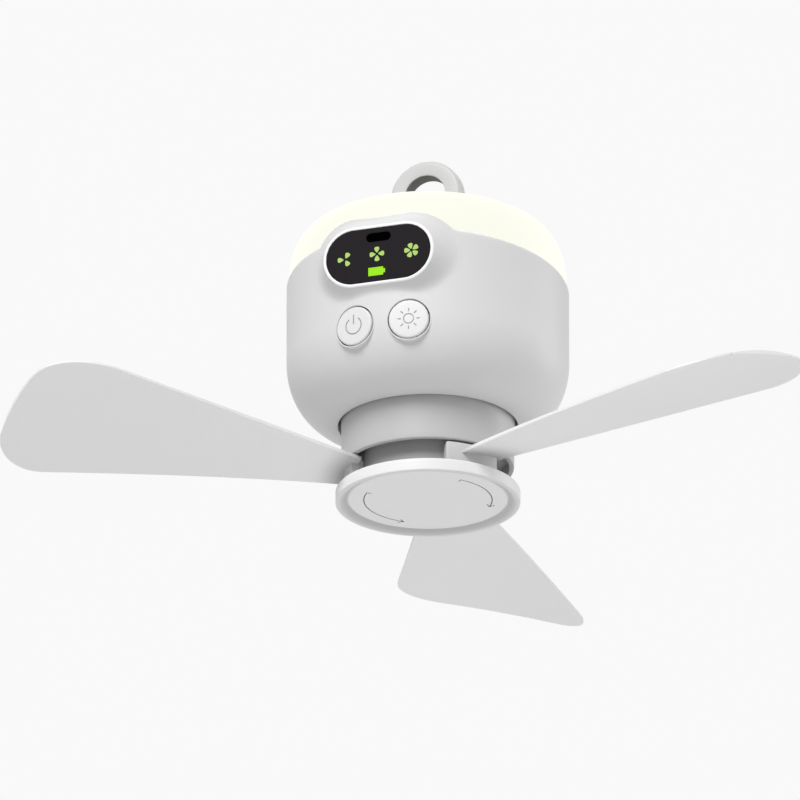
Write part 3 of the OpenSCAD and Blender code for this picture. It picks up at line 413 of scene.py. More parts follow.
def addPrism(bm, outline, low, high, place=Matrix()):
    face = bm.faces.new([bm.verts.new(place @ Vector((x, y, low))) for x, y in outline])
    made = bmesh.ops.extrude_face_region(bm, geom=[face])["geom"]
    lifted = [v for v in made if isinstance(v, bmesh.types.BMVert)]
    bmesh.ops.translate(bm, verts=lifted, vec=place.to_3x3() @ Vector((0, 0, high - low)))


def prism(outline, low, high, place=Matrix()):
    bm = bmesh.new()
    addPrism(bm, outline, low, high, place)
    return outward(bm)


# sets of equal rods: their places, radius, span along their own axis and number of sides
def rods(*sets):
    bm = bmesh.new()
    for places, radius, span, sides in sets:
        for place in places:
            addPrism(bm, circle(radius, sides), *span, place)
    return outward(bm)


def loft(rings):
    bm = bmesh.new()
    loops = []
    for points in rings:
        verts = [bm.verts.new(p) for p in points]
        loops.append([bm.edges.new((verts[i], verts[(i + 1) % len(verts)])) for i in range(len(verts))])
    for first, second in zip(loops, loops[1:] + loops[:1]):
        bmesh.ops.bridge_loops(bm, edges=first + second)
    return outward(bm)


def asObject(name, bm, *looks):
    mesh = bpy.data.meshes.new(name)
    bm.to_mesh(mesh)
    bm.free()
    for look in looks:
        mesh.materials.append(finish[look])
    piece = bpy.data.objects.new(name, mesh)
    bpy.context.scene.collection.objects.link(piece)
    return piece


# joins or cuts with other closed shapes; a cut can leave its own finish
def combine(piece, operation, bm, *looks):
    other = asObject("tool", bm, *looks)
    change = piece.modifiers.new("combine", "BOOLEAN")
    change.operation = operation
    change.object = other
    change.solver = "EXACT"
    change.material_mode = "TRANSFER" if looks else "INDEX"
    graph = bpy.context.evaluated_depsgraph_get()
    made = bpy.data.meshes.new_from_object(piece.evaluated_get(graph), depsgraph=graph)
    piece.modifiers.clear()
    spent, piece.data = piece.data, made
    bpy.data.meshes.remove(spent)
    bpy.data.objects.remove(other)
    return piece


lastSteps = {"sliver": 0.002, "segments": 3, "bevelAngle": 50.0}


# last steps of a piece: slivers out, millimetres to metres, sharp edges, its body, and the solids it
# stands in for hidden
def settle(piece, bodyName, stands=(), sharp=32.0, bevel=0.0):
    mesh = piece.data
    mesh.name = piece.name
    bm = bmesh.new()
    bm.from_mesh(mesh)
    bmesh.ops.remove_doubles(bm, verts=bm.verts, dist=lastSteps["sliver"])
    bmesh.ops.dissolve_degenerate(bm, edges=bm.edges, dist=lastSteps["sliver"])
    bm.to_mesh(mesh)
    bm.free()
    mesh.transform(Matrix.Scale(mm, 4))
    mesh.polygons.foreach_set("use_smooth", [True] * len(mesh.polygons))
    if bevel:
        rounding = piece.modifiers.new("edges", "BEVEL")
        rounding.width = bevel * mm
        rounding.segments = lastSteps["segments"]
        rounding.limit_method = "ANGLE"
        rounding.angle_limit = math.radians(lastSteps["bevelAngle"])
    mesh.set_sharp_from_angle(angle=math.radians(sharp))
    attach(piece, bodyName)
    if stands:
        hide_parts(*stands)


# half the straight part of the surround's outlines, and the radius of its rim
podStraight = (display["glassWidth"] - display["glassHeight"]) / 2
podRim = display["glassHeight"] / 2 + display["rim"]


seamSlope = math.tan(math.radians(body["seamTilt"]))


# how far out the round wall stands, x beside its middle
def wallAt(x):
    return math.sqrt(body["radius"] ** 2 - x * x)


# how far the surround's foot stands out from the rim, more where the wall falls away
def skirtAt(x):
    return display["skirt"] + display["skirtSlope"] * (display["face"] - wallAt(x))


# height of the foot's outline over the display's centre
def footHeight(x):
    x = abs(x)
    if x <= podStraight:
        return podRim + skirtAt(x)
    low, high = 0.0, math.pi / 2
    for _ in range(24):
        turn = (low + high) / 2
        foot = podRim + skirtAt(podStraight + podRim * math.cos(turn))
        if podStraight + foot * math.cos(turn) > x:
            low = turn
        else:
            high = turn
    return foot * math.sin(turn)


def smoothMax(a, b, reach):
    overlap = max(reach - abs(a - b), 0.0) / reach
    return max(a, b) + overlap * overlap * reach / 4


# level at which the shell ends and the dome begins
def shellTop(x, y):
    seam = body["seam"] - y * seamSlope
    if y > 0:
        return seam
    height = footHeight(x)
    if height < display["footEnd"]:
        return seam
    return smoothMax(seam, display["centre"] + height + display["seamGap"], display["seamBlend"])


def domeRadius(z):
    side = body["radius"] - body["domeInset"]
    if z <= body["domeBase"]:
        return side
    rise = min((z - body["domeBase"]) / (body["domeTop"] - body["domeBase"]), 1.0)
    full = body["domeFullness"]
    return side - body["domeCorner"] * (1 - (1 - rise ** full) ** (1 / full))


# the same with the seam's tilt at the dome's foot, which fades towards the top
def tiltedRadius(z, y):
    left = min((body["domeTop"] - z) / (body["domeTop"] - body["domeBase"]), 1.0)
    return domeRadius(z + left * y * seamSlope)


shell = {
    "overlap": 1.0,      # height of the straight wall over the dome's base, before the seam is fitted
    "topEdge": 1.5, "lip": 0.3,
    "fittedBelow": -66,  # the rows above this level follow the seam
    "sideFrom": 50,      # and only those outside this radius
    "rows": 26, "cornerRows": 30, "innerRows": 12, "innerCornerRows": 14,
    "mouthReach": 0.35,  # where the corner's curve stops short of the mouth
    "mouth": ((0.1, 0.06), (0.0, 0.3)),  # rounding of the mouth: out of its wall, up from the floor
    "buttonRadius": 8.0, "buttonGap": 0.5, "buttonFillet": 0.2, "buttonAngle": 11.8,
    "buttonLevel": -73.4, "rimDepth": 52.6, "rimMargin": 0.25, "rimSink": 0.05, "rimRoom": 0.1,
    "windowGap": 0.3, "windowCut": (40, 56.2), "sideCut": (48, 60), "socketSlot": (9.5, 3.8),
    "socketLevel": -63, "limitTop": -60,
}
# the surround of the display; its lip from the glass: out, down
pod = {
    "back": 54.6, "pocketGap": 0.05, "sideGap": 0.1,
    "lip": ((0.1, 0.2), (0.16, 0.05), (0.3, 0.0), (0.65, 0.0)),
    "edgeDrop": 0.55, "edgeTurns": (20, 40, 60, 80, 90), "turnStep": 5, "halfSteps": 11,
    "skirtSteps": 16, "skirtPower": 2.6, "rootMargin": 0.15, "roots": (-0.06, -1.1),
}
# posts, bosses and screw holes: their places, and each one's radius, span and number of sides
fixings = {
    "posts": (27.06, 35.2), "post": (3.6, (-96, -70.6), 48), "postHole": (1.25, (-79, -70), 24),
    "mainBoard": (16, 11.5), "mainLevel": -63,
    "mainBoss": (2.9, (47.7, 52.6), 32), "mainHole": (1.25, (47, 51.5), 24),
    "frontBoard": 18.6, "frontLevel": -61.2,
    "frontBoss": (2.9, (43.85, 51.6), 32), "frontHole": (1.25, (43, 48), 24),
    "motorCircle": 39.8, "motorHole": (1.25, (-95.4, -91), 24),
    "neckHole": (1.25, (-93, -88), 24), "neckRoom": (3.9, (-93, -80), 48),
}


def shellBody():
    r, corner, width = body["radius"], body["radius"] - body["cornerWidth"], body["cornerWidth"]
    wall, inner, opening = body["wall"], body["radius"] - body["wall"], body["openingRadius"]
    start, height = body["cornerTop"], body["cornerTop"] - body["floor"]
    top, edge, lip = body["domeBase"] + shell["overlap"], shell["topEdge"], shell["lip"]
    lastTurn = -math.degrees(math.acos((opening + shell["mouthReach"] - corner) / width))
    landTurn = -math.degrees(math.asin((start - body["land"]) / (height - wall)))
    profile = arc(r - edge, top - edge, edge, edge, 90, 0, 5)
    profile += line((r, top - edge), (r, start), shell["rows"])
    profile += arc(corner, start, width, height, 0, lastTurn, shell["cornerRows"])
    profile += [(opening + out, body["floor"] + up) for out, up in shell["mouth"]]
    profile.append((opening, body["land"]))
    profile += arc(corner, start, width - wall, height - wall, landTurn, 0, shell["innerCornerRows"])
    profile += line((inner, start), (inner, top - lip), shell["innerRows"])
    bm = spun(profile + [(inner, top - lip), (inner + lip, top)], body["columns"])
    fitted = shell["fittedBelow"]
    for v in bm.verts:
        if v.co.z > fitted and v.co.xy.length > shell["sideFrom"]:
            target = shellTop(v.co.x, v.co.y)
            v.co.z = fitted + (v.co.z - fitted) * (target - fitted) / (top - fitted)
    return bm


# one outline of the surround, out from the rim, with a share of the skirt's spread;
# it lies between the round wall (rise 0) and a level (rise 1)
def podRing(out, level=0.0, share=0.0, rise=1.0, drop=0.0):
    place, half = facing(0, display["centre"]), pod["halfSteps"]
    spokes = []
    for side, start in ((1, -90), (-1, 90)):
        spokes += [(side * podStraight, turn) for turn in range(start, start + 181, pod["turnStep"])]
        spokes += [(side * podStraight * (1 - i / half), start + 180) for i in range(1, 2 * half)]
    points = []
    for middle, turn in spokes:
        a = math.radians(turn)
        reach = podRim + out + share * skirtAt(middle + podRim * math.cos(a))
        x, y = middle + reach * math.cos(a), reach * math.sin(a)
        points.append(place @ Vector((x, y, level * rise + wallAt(x) * (1 - rise) + drop)))
    return points


def podBlock():
    face, rim, gap = display["face"], display["rim"], pod["sideGap"]
    pocket = face - display["recess"] - display["glassThickness"] - pod["pocketGap"]
    opening, edge, drop = gap - rim - display["ledge"], rim - pod["lip"][-1][0], pod["edgeDrop"]
    rings = [podRing(opening, pod["back"]), podRing(opening, pocket), podRing(gap - rim, pocket)]
    rings += [podRing(out - rim, face - down) for out, down in pod["lip"]]
    for turn in pod["edgeTurns"]:
        a = math.radians(turn)
        rings.append(podRing(edge * (math.sin(a) - 1), face - drop * (1 - math.cos(a))))
    for i in range(1, pod["skirtSteps"] + 1):
        share = i / pod["skirtSteps"]
        rings.append(podRing(0, face - drop, share, (1 - share) ** pod["skirtPower"]))
    rings += [podRing(pod["rootMargin"], share=1, rise=0, drop=root) for root in pod["roots"]]
    bm = loft(rings)
    for f in bm.faces:
        if f.calc_center_median().y < drop - face:  # the rim, a brighter copy of the shell's white as painted highlight
            f.material_index = 1
    return bm


def buttonPlace(side):
    return facing(side * shell["buttonAngle"], shell["buttonLevel"])


# soft rim of a button's hole, following the round wall
def buttonRim(side):
    place, fillet, depth = buttonPlace(side), shell["buttonFillet"], shell["rimDepth"]
    hole = shell["buttonRadius"] + shell["buttonGap"]
    outer = hole + fillet + shell["rimMargin"]

    def ring(radius, lift=0.0, depth=None):
        points = []
        for x, y in circle(radius, 72):
            z = wallAt(x) + lift if depth is None else depth
            points.append(place @ Vector((x, y, z)))
        return points

    rings = [ring(hole, depth=depth)]
    for turn in range(0, 91, 15):
        a = math.radians(turn)
        rings.append(ring(hole + fillet * (1 - math.cos(a)), lift=fillet * (math.sin(a) - 1)))
    return loft(rings + [ring(outer, lift=-shell["rimSink"]), ring(outer, depth=depth)])


# the round form that the posts are trimmed to, halfway into the wall
def postLimit():
    corner, half = body["radius"] - body["cornerWidth"], body["wall"] / 2
    width, height = body["cornerWidth"] - half, body["cornerTop"] - body["floor"] - half
    lastTurn = -math.degrees(math.asin((body["cornerTop"] - body["land"]) / height))
    curve = arc(corner, body["cornerTop"], width, height, 0, lastTurn, 20)
    top = shell["limitTop"]
    return spun([(0, top), (body["radius"] - half, top)] + curve + [(0, body["land"])], 96)


def makeShell():
    piece = asObject("lowerShell", shellBody(), "shellWhite", "rimPaintedHighlight")
    combine(piece, "UNION", podBlock())
    cuts = bmesh.new()
    less = 2 * display["ledge"] - shell["windowGap"]
    window = pill(display["glassWidth"] - less, display["glassHeight"] - less)
    addPrism(cuts, window, *shell["windowCut"], facing(0, display["centre"]))
    hole = shell["buttonRadius"] + shell["buttonGap"] + shell["buttonFillet"] + shell["rimRoom"]
    for side in (-1, 1):
        addPrism(cuts, circle(hole, 72), *shell["sideCut"], buttonPlace(side))
    addPrism(cuts, pill(*shell["socketSlot"]), *shell["sideCut"], facing(180, shell["socketLevel"]))
    combine(piece, "DIFFERENCE", outward(cuts))
    for side in (-1, 1):
        combine(piece, "UNION", buttonRim(side))
    posts = corners(*fixings["posts"])
    trimmed = asObject("posts", rods((posts, *fixings["post"])), "shellWhite")
    combine(trimmed, "INTERSECT", postLimit())
    bm = bmesh.new()
    bm.from_mesh(trimmed.data)
    bpy.data.objects.remove(trimmed)
    combine(piece, "UNION", bm)
    main = [facing(180, fixings["mainLevel"]) @ corner for corner in corners(*fixings["mainBoard"])]
    away = fixings["frontBoard"]
    front = [facing(0, fixings["frontLevel"]) @ moved(x, 0) for x in (-away, away)]
    combine(piece, "UNION", rods((main, *fixings["mainBoss"]), (front, *fixings["frontBoss"])))
    combine(piece, "DIFFERENCE", rods(
        (posts, *fixings["postHole"]), (main, *fixings["mainHole"]), (front, *fixings["frontHole"]),
        (quarters(fixings["motorCircle"]), *fixings["motorHole"])))
    settle(piece, "housing", ["lower_shell"], sharp=38)


makeShell()
print("shell made")

dome = {
    "gap": 0.12, "skirt": 8.0, "chamfer": 0.3, "lip": 3.0, "lipOuter": 53.65, "lipInner": 52.35,
    "lipRoot": 1.5, "postHole": 5.2, "fittedBelow": -24.0,
}


def makeDome():
    r, wall, hole = body["radius"] - body["domeInset"], body["domeWall"], dome["postHole"]
    top, base, corner = body["domeTop"], body["domeBase"], body["domeCorner"]
    height, flat, foot = top - base, r - corner, base - dome["skirt"]
    lipOuter, lipInner, chamfer = dome["lipOuter"], dome["lipInner"], dome["chamfer"]
    lipFoot, lipRoot = foot - dome["lip"], foot + dome["lipRoot"]
    profile = [(hole, top)] + line((hole, top), (flat, top), 6)
    profile += fullArc(flat, base, corner, height, 36)[::-1] + line((r, base), (r, foot), 6)
    profile += [(r, foot + chamfer), (r - chamfer, foot), (lipOuter, foot)]
    profile += [(lipOuter, lipFoot), (lipInner, lipFoot), (lipInner, lipRoot)]
    profile += line((lipInner, lipRoot), (r - wall, base), 5)
    profile += fullArc(flat, base, corner - wall, height - wall, 28)
    profile += line((flat, top - wall), (hole, top - wall), 4) + [(hole, top - wall)]
    bm = spun(profile, body["columns"])
    fitted = dome["fittedBelow"]
    for v in bm.verts:
        reach, level = v.co.xy.length, v.co.z
        if reach < flat:
            continue
        side = v.co.xy.normalized() * r
        if level < fitted:
            target = shellTop(*side) + dome["gap"]
            level = fitted - (fitted - v.co.z) * (fitted - target) / (fitted - foot)
        reach += tiltedRadius(level, side.y) - domeRadius(v.co.z)
        v.co = (*(side.normalized() * reach), level)
    piece = asObject("lampDome", bm, "domeOpal")
    settle(piece, "housing", ["light_dome"], sharp=40)


makeDome()
print("dome made")

signs = {
    # each wheel's x, y, number of blades and first angle
    "wheels": ((-14.0, -0.45, 3, 60.0), (-0.6, 0.2, 4, 91.0), (13.9, -0.1, 5, 104.0)),
    "petalStart": 0.55, "petalLength": 2.5, "petalHalfWidth": 1.45, "petalRoot": 0.7,
    "petalTip": 5, "petalSteps": 12, "battery": (-1.1, -7.1, 6.2, 3.5), "batteryKnob": 0.8,
    "batteryRounding": 0.04, "sunk": 0.3, "proud": 0.06, "receiver": (0.0, 7.4, 10.2, 3.6),
    "receiverGap": 0.1,
}


def petal(turn):
    side = []
    for i in range(signs["petalSteps"] + 1):
        along = math.sin(math.pi / 2 * i / signs["petalSteps"])
        half = signs["petalHalfWidth"] * along ** signs["petalRoot"]
        half *= math.sqrt(1 - along ** signs["petalTip"])
        side.append((signs["petalStart"] + signs["petalLength"] * along, half))
    outline = side + [(x, -y) for x, y in side[-2:0:-1]]
    c, s = math.cos(turn), math.sin(turn)
    return [(x * c - y * s, x * s + y * c) for x, y in outline]


def makeDisplay():
    place, rounding = facing(0, display["centre"]), display["glassRounding"]
    front = display["face"] - display["recess"]
    back = front - display["glassThickness"]
    low, high = front - signs["sunk"], front + signs["proud"]
    outline = pill(display["glassWidth"], display["glassHeight"], 40)
    glass = asObject("displayGlass", prism(outline, back, front, place), "glassBlack")
    x, y, w, h = signs["receiver"]
    spot, gap = place @ moved(x, y), signs["receiverGap"]
    combine(glass, "DIFFERENCE", prism(pill(w + gap, h + gap, 16), back - 1, front + 1, spot))
    settle(glass, "housing", ["display_lens"], bevel=rounding)
    window = asObject("receiverWindow", prism(pill(w, h, 16), back, front - gap, spot), "irBlack")
    settle(window, "housing", ["receiver_window"], bevel=rounding)

    bm = bmesh.new()
    for x, y, count, start in signs["wheels"]:
        for i in range(count):
            addPrism(bm, petal(math.radians(start + 360 * i / count)), low, high, place @ moved(x, y))
    settle(asObject("speedSigns", outward(bm), "iconGreen"), "housing")

    x, y, w, h = signs["battery"]
    w, h, knob = w / 2, h / 2, w / 2 + signs["batteryKnob"]
    outline = [(-w, -h), (w, -h), (w, -h / 2), (knob, -h / 2)]
    outline += [(x, -y) for x, y in outline[::-1]]
    battery = asObject("batterySign", prism(outline, low, high, place @ moved(x, y)), "batteryGreen")
    settle(battery, "housing", bevel=signs["batteryRounding"])


makeDisplay()
print("display made")

button = {
    "face": 56.3, "crown": 0.12, "edge": 0.7, "flange": 51.15, "flangeEdge": 0.3,
    "ear": (9.55, 3.0), "earHeight": 1, "plunger": 2.2, "plungerSpan": (-0.4, 0.5),
    "lineWidth": 0.5, "lineDepth": 0.22,
}
powerMark = {"radius": 3.5, "start": 125, "stop": 415, "barLevel": 2.6, "barLength": 4.0}
lightMark = {"radius": 2.0, "width": 0.42, "split": 1.5, "rays": 8, "rayCentre": 3.75, "rayLength": 1.5}


# one curved line of a sign, as a closed shape of its own
def strokeRing(radius, start, stop, width, place, low, high):
    half, steps = width / 2, max(int(abs(stop - start) / 6), 4)
    return prism(band(radius - half, radius + half, start, stop, steps), low, high, place)


# and one straight line with round ends
def strokeBar(x, y, length, turn, place, low, high):
    return prism(pill(length, button["lineWidth"], 6), low, high, place @ moved(x, y) @ turned(turn))


def makeButton(name, side, node, drawSign):
    place, low = buttonPlace(side), button["flange"]
    r, face, edge = shell["buttonRadius"], button["face"], button["edge"]
    crown, deep, (x, y) = button["crown"], button["flangeEdge"], button["ear"]
    profile = [(r * k, face - crown * (k * r / (r - edge)) ** 2) for k in (0, 0.25, 0.5, 0.75)]
    profile += arc(r - edge, face - crown - edge, edge, edge, 90, 0, 6)
    profile += [(r, low + deep), (r - deep, low), (0, low)]
    bm = spun(profile, 96)
    bmesh.ops.transform(bm, matrix=place, verts=bm.verts)
    piece = asObject(name, bm, "buttonWhite")
    ears = prism([(-x, -y), (x, -y), (x, y), (-x, y)], low, low + button["earHeight"], place)
    combine(piece, "UNION", ears)
    span = [low + end for end in button["plungerSpan"]]
    combine(piece, "UNION", rods(([place], button["plunger"], span, 32)))
    for stroke in drawSign(place, face - button["lineDepth"], face + 1):
        combine(piece, "DIFFERENCE", stroke, "signGrey")
    settle(piece, node, [node], sharp=35)


def powerSign(*span):
    radius, start, stop = powerMark["radius"], powerMark["start"], powerMark["stop"]
    bar = strokeBar(0, powerMark["barLevel"], powerMark["barLength"], 90, *span)
    return [strokeRing(radius, start, stop, button["lineWidth"], *span), bar]


def lightSign(*span):
    radius, width, split = lightMark["radius"], lightMark["width"], lightMark["split"]
    strokes = [strokeRing(radius, half + split, half + 180 - split, width, *span) for half in (0, 180)]
    for i in range(lightMark["rays"]):
        turn = 360 / lightMark["rays"] * i + 90
        centre = turned(turn) @ Vector((lightMark["rayCentre"], 0, 0))
        strokes.append(strokeBar(*centre.xy, lightMark["rayLength"], turn, *span))
    return strokes


makeButton("powerButton", -1, "power_button", powerSign)
makeButton("lightButton", 1, "light_button", lightSign)
print("buttons made")

neck = {
    "rim": -115.2, "rimRadius": 34.1, "topRadius": 34.55, "bore": 32.1, "edge": 0.5, "boreEdge": 0.25,
    "landGap": 0.05, "flange": 43.0, "flangeHeight": 2.15,
    "web": -111.0, "webThickness": 1.5, "webHole": 23.3,
}


def makeNeck():
    low, edge, small, land = neck["rim"], neck["edge"], neck["boreEdge"], body["land"] + neck["landGap"]
    r, bore, hole, web = neck["rimRadius"], neck["bore"], neck["webHole"], neck["web"]
    lip, shelf = land + neck["flangeHeight"], web + neck["webThickness"]
    profile = arc(r - edge, low + edge, edge, edge, -90, 0, 5)
    profile += line((r, low + edge), (neck["topRadius"], land), 10)
    profile += [(neck["topRadius"], land), (neck["flange"], land), (neck["flange"], lip), (bore, lip)]
    profile += [(bore, shelf), (hole, shelf), (hole, web), (bore, web)]
    profile += arc(bore + small, low + small, small, small, 180, 270, 3)
    piece = asObject("neckSleeve", spun(profile, 192), "neckWhite")
    combine(piece, "DIFFERENCE", rods(
        (corners(*fixings["posts"]), *fixings["neckRoom"]),
        (quarters(fixings["motorCircle"]), *fixings["neckHole"])))
    settle(piece, "housing", ["motor_cover"], sharp=35)


makeNeck()
print("neck made")

blade = {
    "azimuths": (115.2, 235.2, 355.2), "tipRadius": 173.1, "rootRadius": 33.6,
    "rootStart": 30.6, "rootThickness": 2.6, "tipThickness": 1.5, "edgeThinning": 0.45,
    "rise": 13.0, "hollow": 200.0, "pitch": 3.0, "spread": 25.5, "spreadStart": 42.0,
    "leadOffset": 2.4, "leadCorner": 25.0, "trailCorner": 20.0, "rootLevel": -116.55,
    "spanSteps": 96, "chordSteps": 28,
    "straightShare": 0.7,  # of the steps along the span, before the round corners
    "rounding": 0.3, "blockMiddle": -32.0, "blockHalf": 21.0, "blockLow": -124.5,
    "blockHigh": -116.1, "blockBevel": 0.6,
    "blockSharp": 0.8,  # edges over this angle are bevelled, in radians
    "hubRadius": 27.65,
    "key": ((17, 7.5), (21.5, 7.5), (21.5, 4.5), (29.5, 4.5)),  # half the key's outline
    "keyHeight": 7.25,
}


def cornerInset(radius, fromTip):
    if fromTip >= radius:
        return 0.0
    return radius - math.sqrt(radius ** 2 - (radius - fromTip) ** 2)


def leadAngle(r):
    inset = cornerInset(blade["leadCorner"], blade["tipRadius"] - r)
    return -math.asin((blade["leadOffset"] + inset) / r)


def trailAngle(r):
    a, spread = math.radians(blade["spreadStart"]), math.radians(blade["spread"])
    start = Vector((math.cos(a), -math.sin(a))) * blade["rootRadius"]
    along = Vector((math.cos(spread), -math.sin(spread)))
    b = start.dot(along)
    p = start + along * (-b + math.sqrt(max(b * b - (start.dot(start) - r * r), 0.0)))
    return math.atan2(p.y, p.x) + cornerInset(blade["trailCorner"], blade["tipRadius"] - r) / r


def bladeLevel(x, y):
    u = (x - blade["rootRadius"]) / (blade["tipRadius"] - blade["rootRadius"])
    slope = math.tan(math.radians(blade["pitch"] * (1 - u * u)))
    return blade["rootLevel"] + blade["rise"] * u + slope * y - y * y / (2 * blade["hollow"])


# a point of the blade's middle surface and half its thickness there
def bladePoint(u, v):
    root, tip, straight = blade["rootStart"], blade["tipRadius"], blade["straightShare"]
    cornerStart = tip - max(blade["leadCorner"], blade["trailCorner"])
    if u < straight:
        r = root + (cornerStart - root) * u / straight
    else:
        r = cornerStart + (tip - cornerStart) * math.sin(math.pi / 2 * (u - straight) / (1 - straight))
    a = leadAngle(r) + (trailAngle(r) - leadAngle(r)) * v
    x, y = r * math.cos(a), r * math.sin(a)
    full, share = blade["rootThickness"], (r - root) / (tip - root)
    half = (full + (blade["tipThickness"] - full) * share) / 2
    return Vector((x, y, bladeLevel(x, y))), half * (1 - blade["edgeThinning"] * (2 * v - 1) ** 2)


def bladePlate():
    bm = bmesh.new()
    bmesh.ops.create_grid(bm, x_segments=blade["spanSteps"], y_segments=blade["chordSteps"], size=0.5)
    made = bmesh.ops.extrude_face_region(bm, geom=bm.faces[:])["geom"]
    lifted = {v for v in made if isinstance(v, bmesh.types.BMVert)}
    for v in bm.verts:
        point, half = bladePoint(v.co.x + 0.5, v.co.y + 0.5)
        v.co = point + Vector((0, 0, half if v in lifted else -half))
    return outward(bm)


def ringSector(inner, outer, middle, half, low, high):
    return prism(band(inner, outer, middle - half, middle + half, 24), low, high)


def bladeRoot():
    bm = ringSector(blade["hubRadius"], blade["rootRadius"], blade["blockMiddle"], blade["blockHalf"],
                    blade["blockLow"], blade["blockHigh"])
    sharp = [e for e in bm.edges if e.calc_face_angle(0) > blade["blockSharp"]]
    bmesh.ops.bevel(bm, geom=sharp, offset=blade["blockBevel"], segments=3,
                    affect="EDGES", profile=0.5, material=-1)
    return bm


def bladeKey():
    half, low = blade["key"], blade["blockLow"]
    outline = [(x, -y) for x, y in half] + list(half[::-1])
    return prism(outline, low, low + blade["keyHeight"], turned(blade["blockMiddle"]))


def makeBlade(index):
    piece = asObject(f"blade{index + 1}", bladePlate(), "bladeWhite")
    combine(piece, "UNION", bladeRoot())
    combine(piece, "UNION", bladeKey())
    piece.data.transform(turned(blade["azimuths"][index]))
    settle(piece, "rotor", [f"blade_{index + 1}"], sharp=35, bevel=blade["rounding"])


for index in range(3):
    makeBlade(index)
print("blades made")

cap = {
    "radius": 36.6, "top": -124.8, "bottom": -130.0, "face": -128.5, "edge": 0.6,
    "topEdge": 0.7, "topRing": 9,
    # the rim's inner slope and the groove round the face, from the rim inwards
    "dish": ((35.2, -130.0), (34.5, -129.85), (33.8, -129.35), (33.2, -128.7), (32.7, -128.15),
             (32.3, -127.95), (31.9, -128.0), (31.6, -128.3), (31.4, -128.48), (31.1, -128.5)),
    "faceStep": 4.0, "faceSteps": 7,
    "arrowRadius": 25.4, "arrowWidth": 0.45, "arrowDepth": 0.15, "arrowHead": 2.8,
    "arrowTick": 1.8, "barb": 40.0,
    "arrows": ((-142.0, -229.0), (-40.0, 37.0)),  # first and last angle of each
    "spigot": 9.0, "spigotTop": -118.7, "spigotWall": 2.2, "spigotFloor": 2.5, "spigotRoot": 0.5,
    "lug": 12.0, "lugLow": -120.7, "lugHalf": 20.0,
}


# a turn arrow as one outline: bent shaft, two barbs at its end and a tick at its start
def arrowOutline(start, stop):
    r, width, barb = cap["arrowRadius"], cap["arrowWidth"], math.radians(cap["barb"])
    way = 1 if stop > start else -1
    behind = width * (math.sin(barb) + math.cos(barb) * (0.5 + math.cos(barb)) / math.sin(barb))
    end, begin = stop - way * math.degrees(behind / r), start + way * math.degrees(width / r)
    outside = arc(0, 0, r + width / 2, r + width / 2, start, end, 16)
    inside = arc(0, 0, r - width / 2, r - width / 2, end, begin, 16)
    tip = math.radians(stop)
    out, along = Vector((math.cos(tip), math.sin(tip))), Vector((-math.sin(tip), math.cos(tip))) * way
    barbs = []
    for side in (1, -1):
        point = out * r + (out * side * math.sin(barb) - along * math.cos(barb)) * cap["arrowHead"]
        barbs += [point - (out * side * math.cos(barb) + along * math.sin(barb)) * width, point]
    tick = [((r - cap["arrowTick"]) * math.cos(a), (r - cap["arrowTick"]) * math.sin(a))
            for a in (math.radians(begin), math.radians(start))]
    return outside + barbs[:2] + [out * r] + barbs[:1:-1] + inside + tick


def makeCap():
    r, low, high, face = cap["radius"], cap["bottom"], cap["top"], cap["face"]
    edge, soft, spigot, spigotTop = cap["edge"], cap["topEdge"], cap["spigot"], cap["spigotTop"]
    profile = [(0, high), (r - cap["topRing"], high)] + arc(r - soft, high - soft, soft, soft, 90, 0, 5)
    profile += line((r, high - soft), (r, low + edge), 4)
    profile += arc(r - edge, low + edge, edge, edge, 0, -90, 8) + list(cap["dish"])
    profile += [(cap["faceStep"] * k, face) for k in range(cap["faceSteps"], -1, -1)]
    piece = asObject("lockCap", spun(profile, 192), "capWhite")
    here = [Matrix()]
    combine(piece, "UNION", rods((here, spigot, (high - cap["spigotRoot"], spigotTop), 64)))
    for azimuth in blade["azimuths"]:
        middle = azimuth + blade["blockMiddle"]
        lug = ringSector(spigot - 1, cap["lug"], middle, cap["lugHalf"], cap["lugLow"], spigotTop)
        combine(piece, "UNION", lug)
    hollow = (here, spigot - cap["spigotWall"], (low + cap["spigotFloor"], spigotTop + 1), 48)
    combine(piece, "DIFFERENCE", rods(hollow))
    arrows = bmesh.new()
    for start, stop in cap["arrows"]:
        addPrism(arrows, arrowOutline(start, stop), low - 1, face + cap["arrowDepth"])
    combine(piece, "DIFFERENCE", outward(arrows), "markGrey")
    settle(piece, "lock_cap", ["lock_cap"], sharp=35)


makeCap()
print("lock cap made")

ring = {
    "eye": 8.5, "bar": 6.3, "depth": 7.2, "round": 1.6, "inner": 0.35, "shadeReach": 0.03,
    "legSteps": 8, "pivot": -7.2, "pinRadius": 1.52,
}


def ringSection():
    half, outer, edge, small = ring["depth"] / 2, ring["eye"] + ring["bar"], ring["round"], ring["inner"]
    points = arc(ring["eye"] + small, half - small, small, small, 90, 180, 3)
    points += arc(ring["eye"] + small, small - half, small, small, 180, 270, 3)
    points += arc(outer - edge, edge - half, edge, edge, -90, 0, 7)
    return points + arc(outer - edge, half - edge, edge, edge, 0, 90, 7)


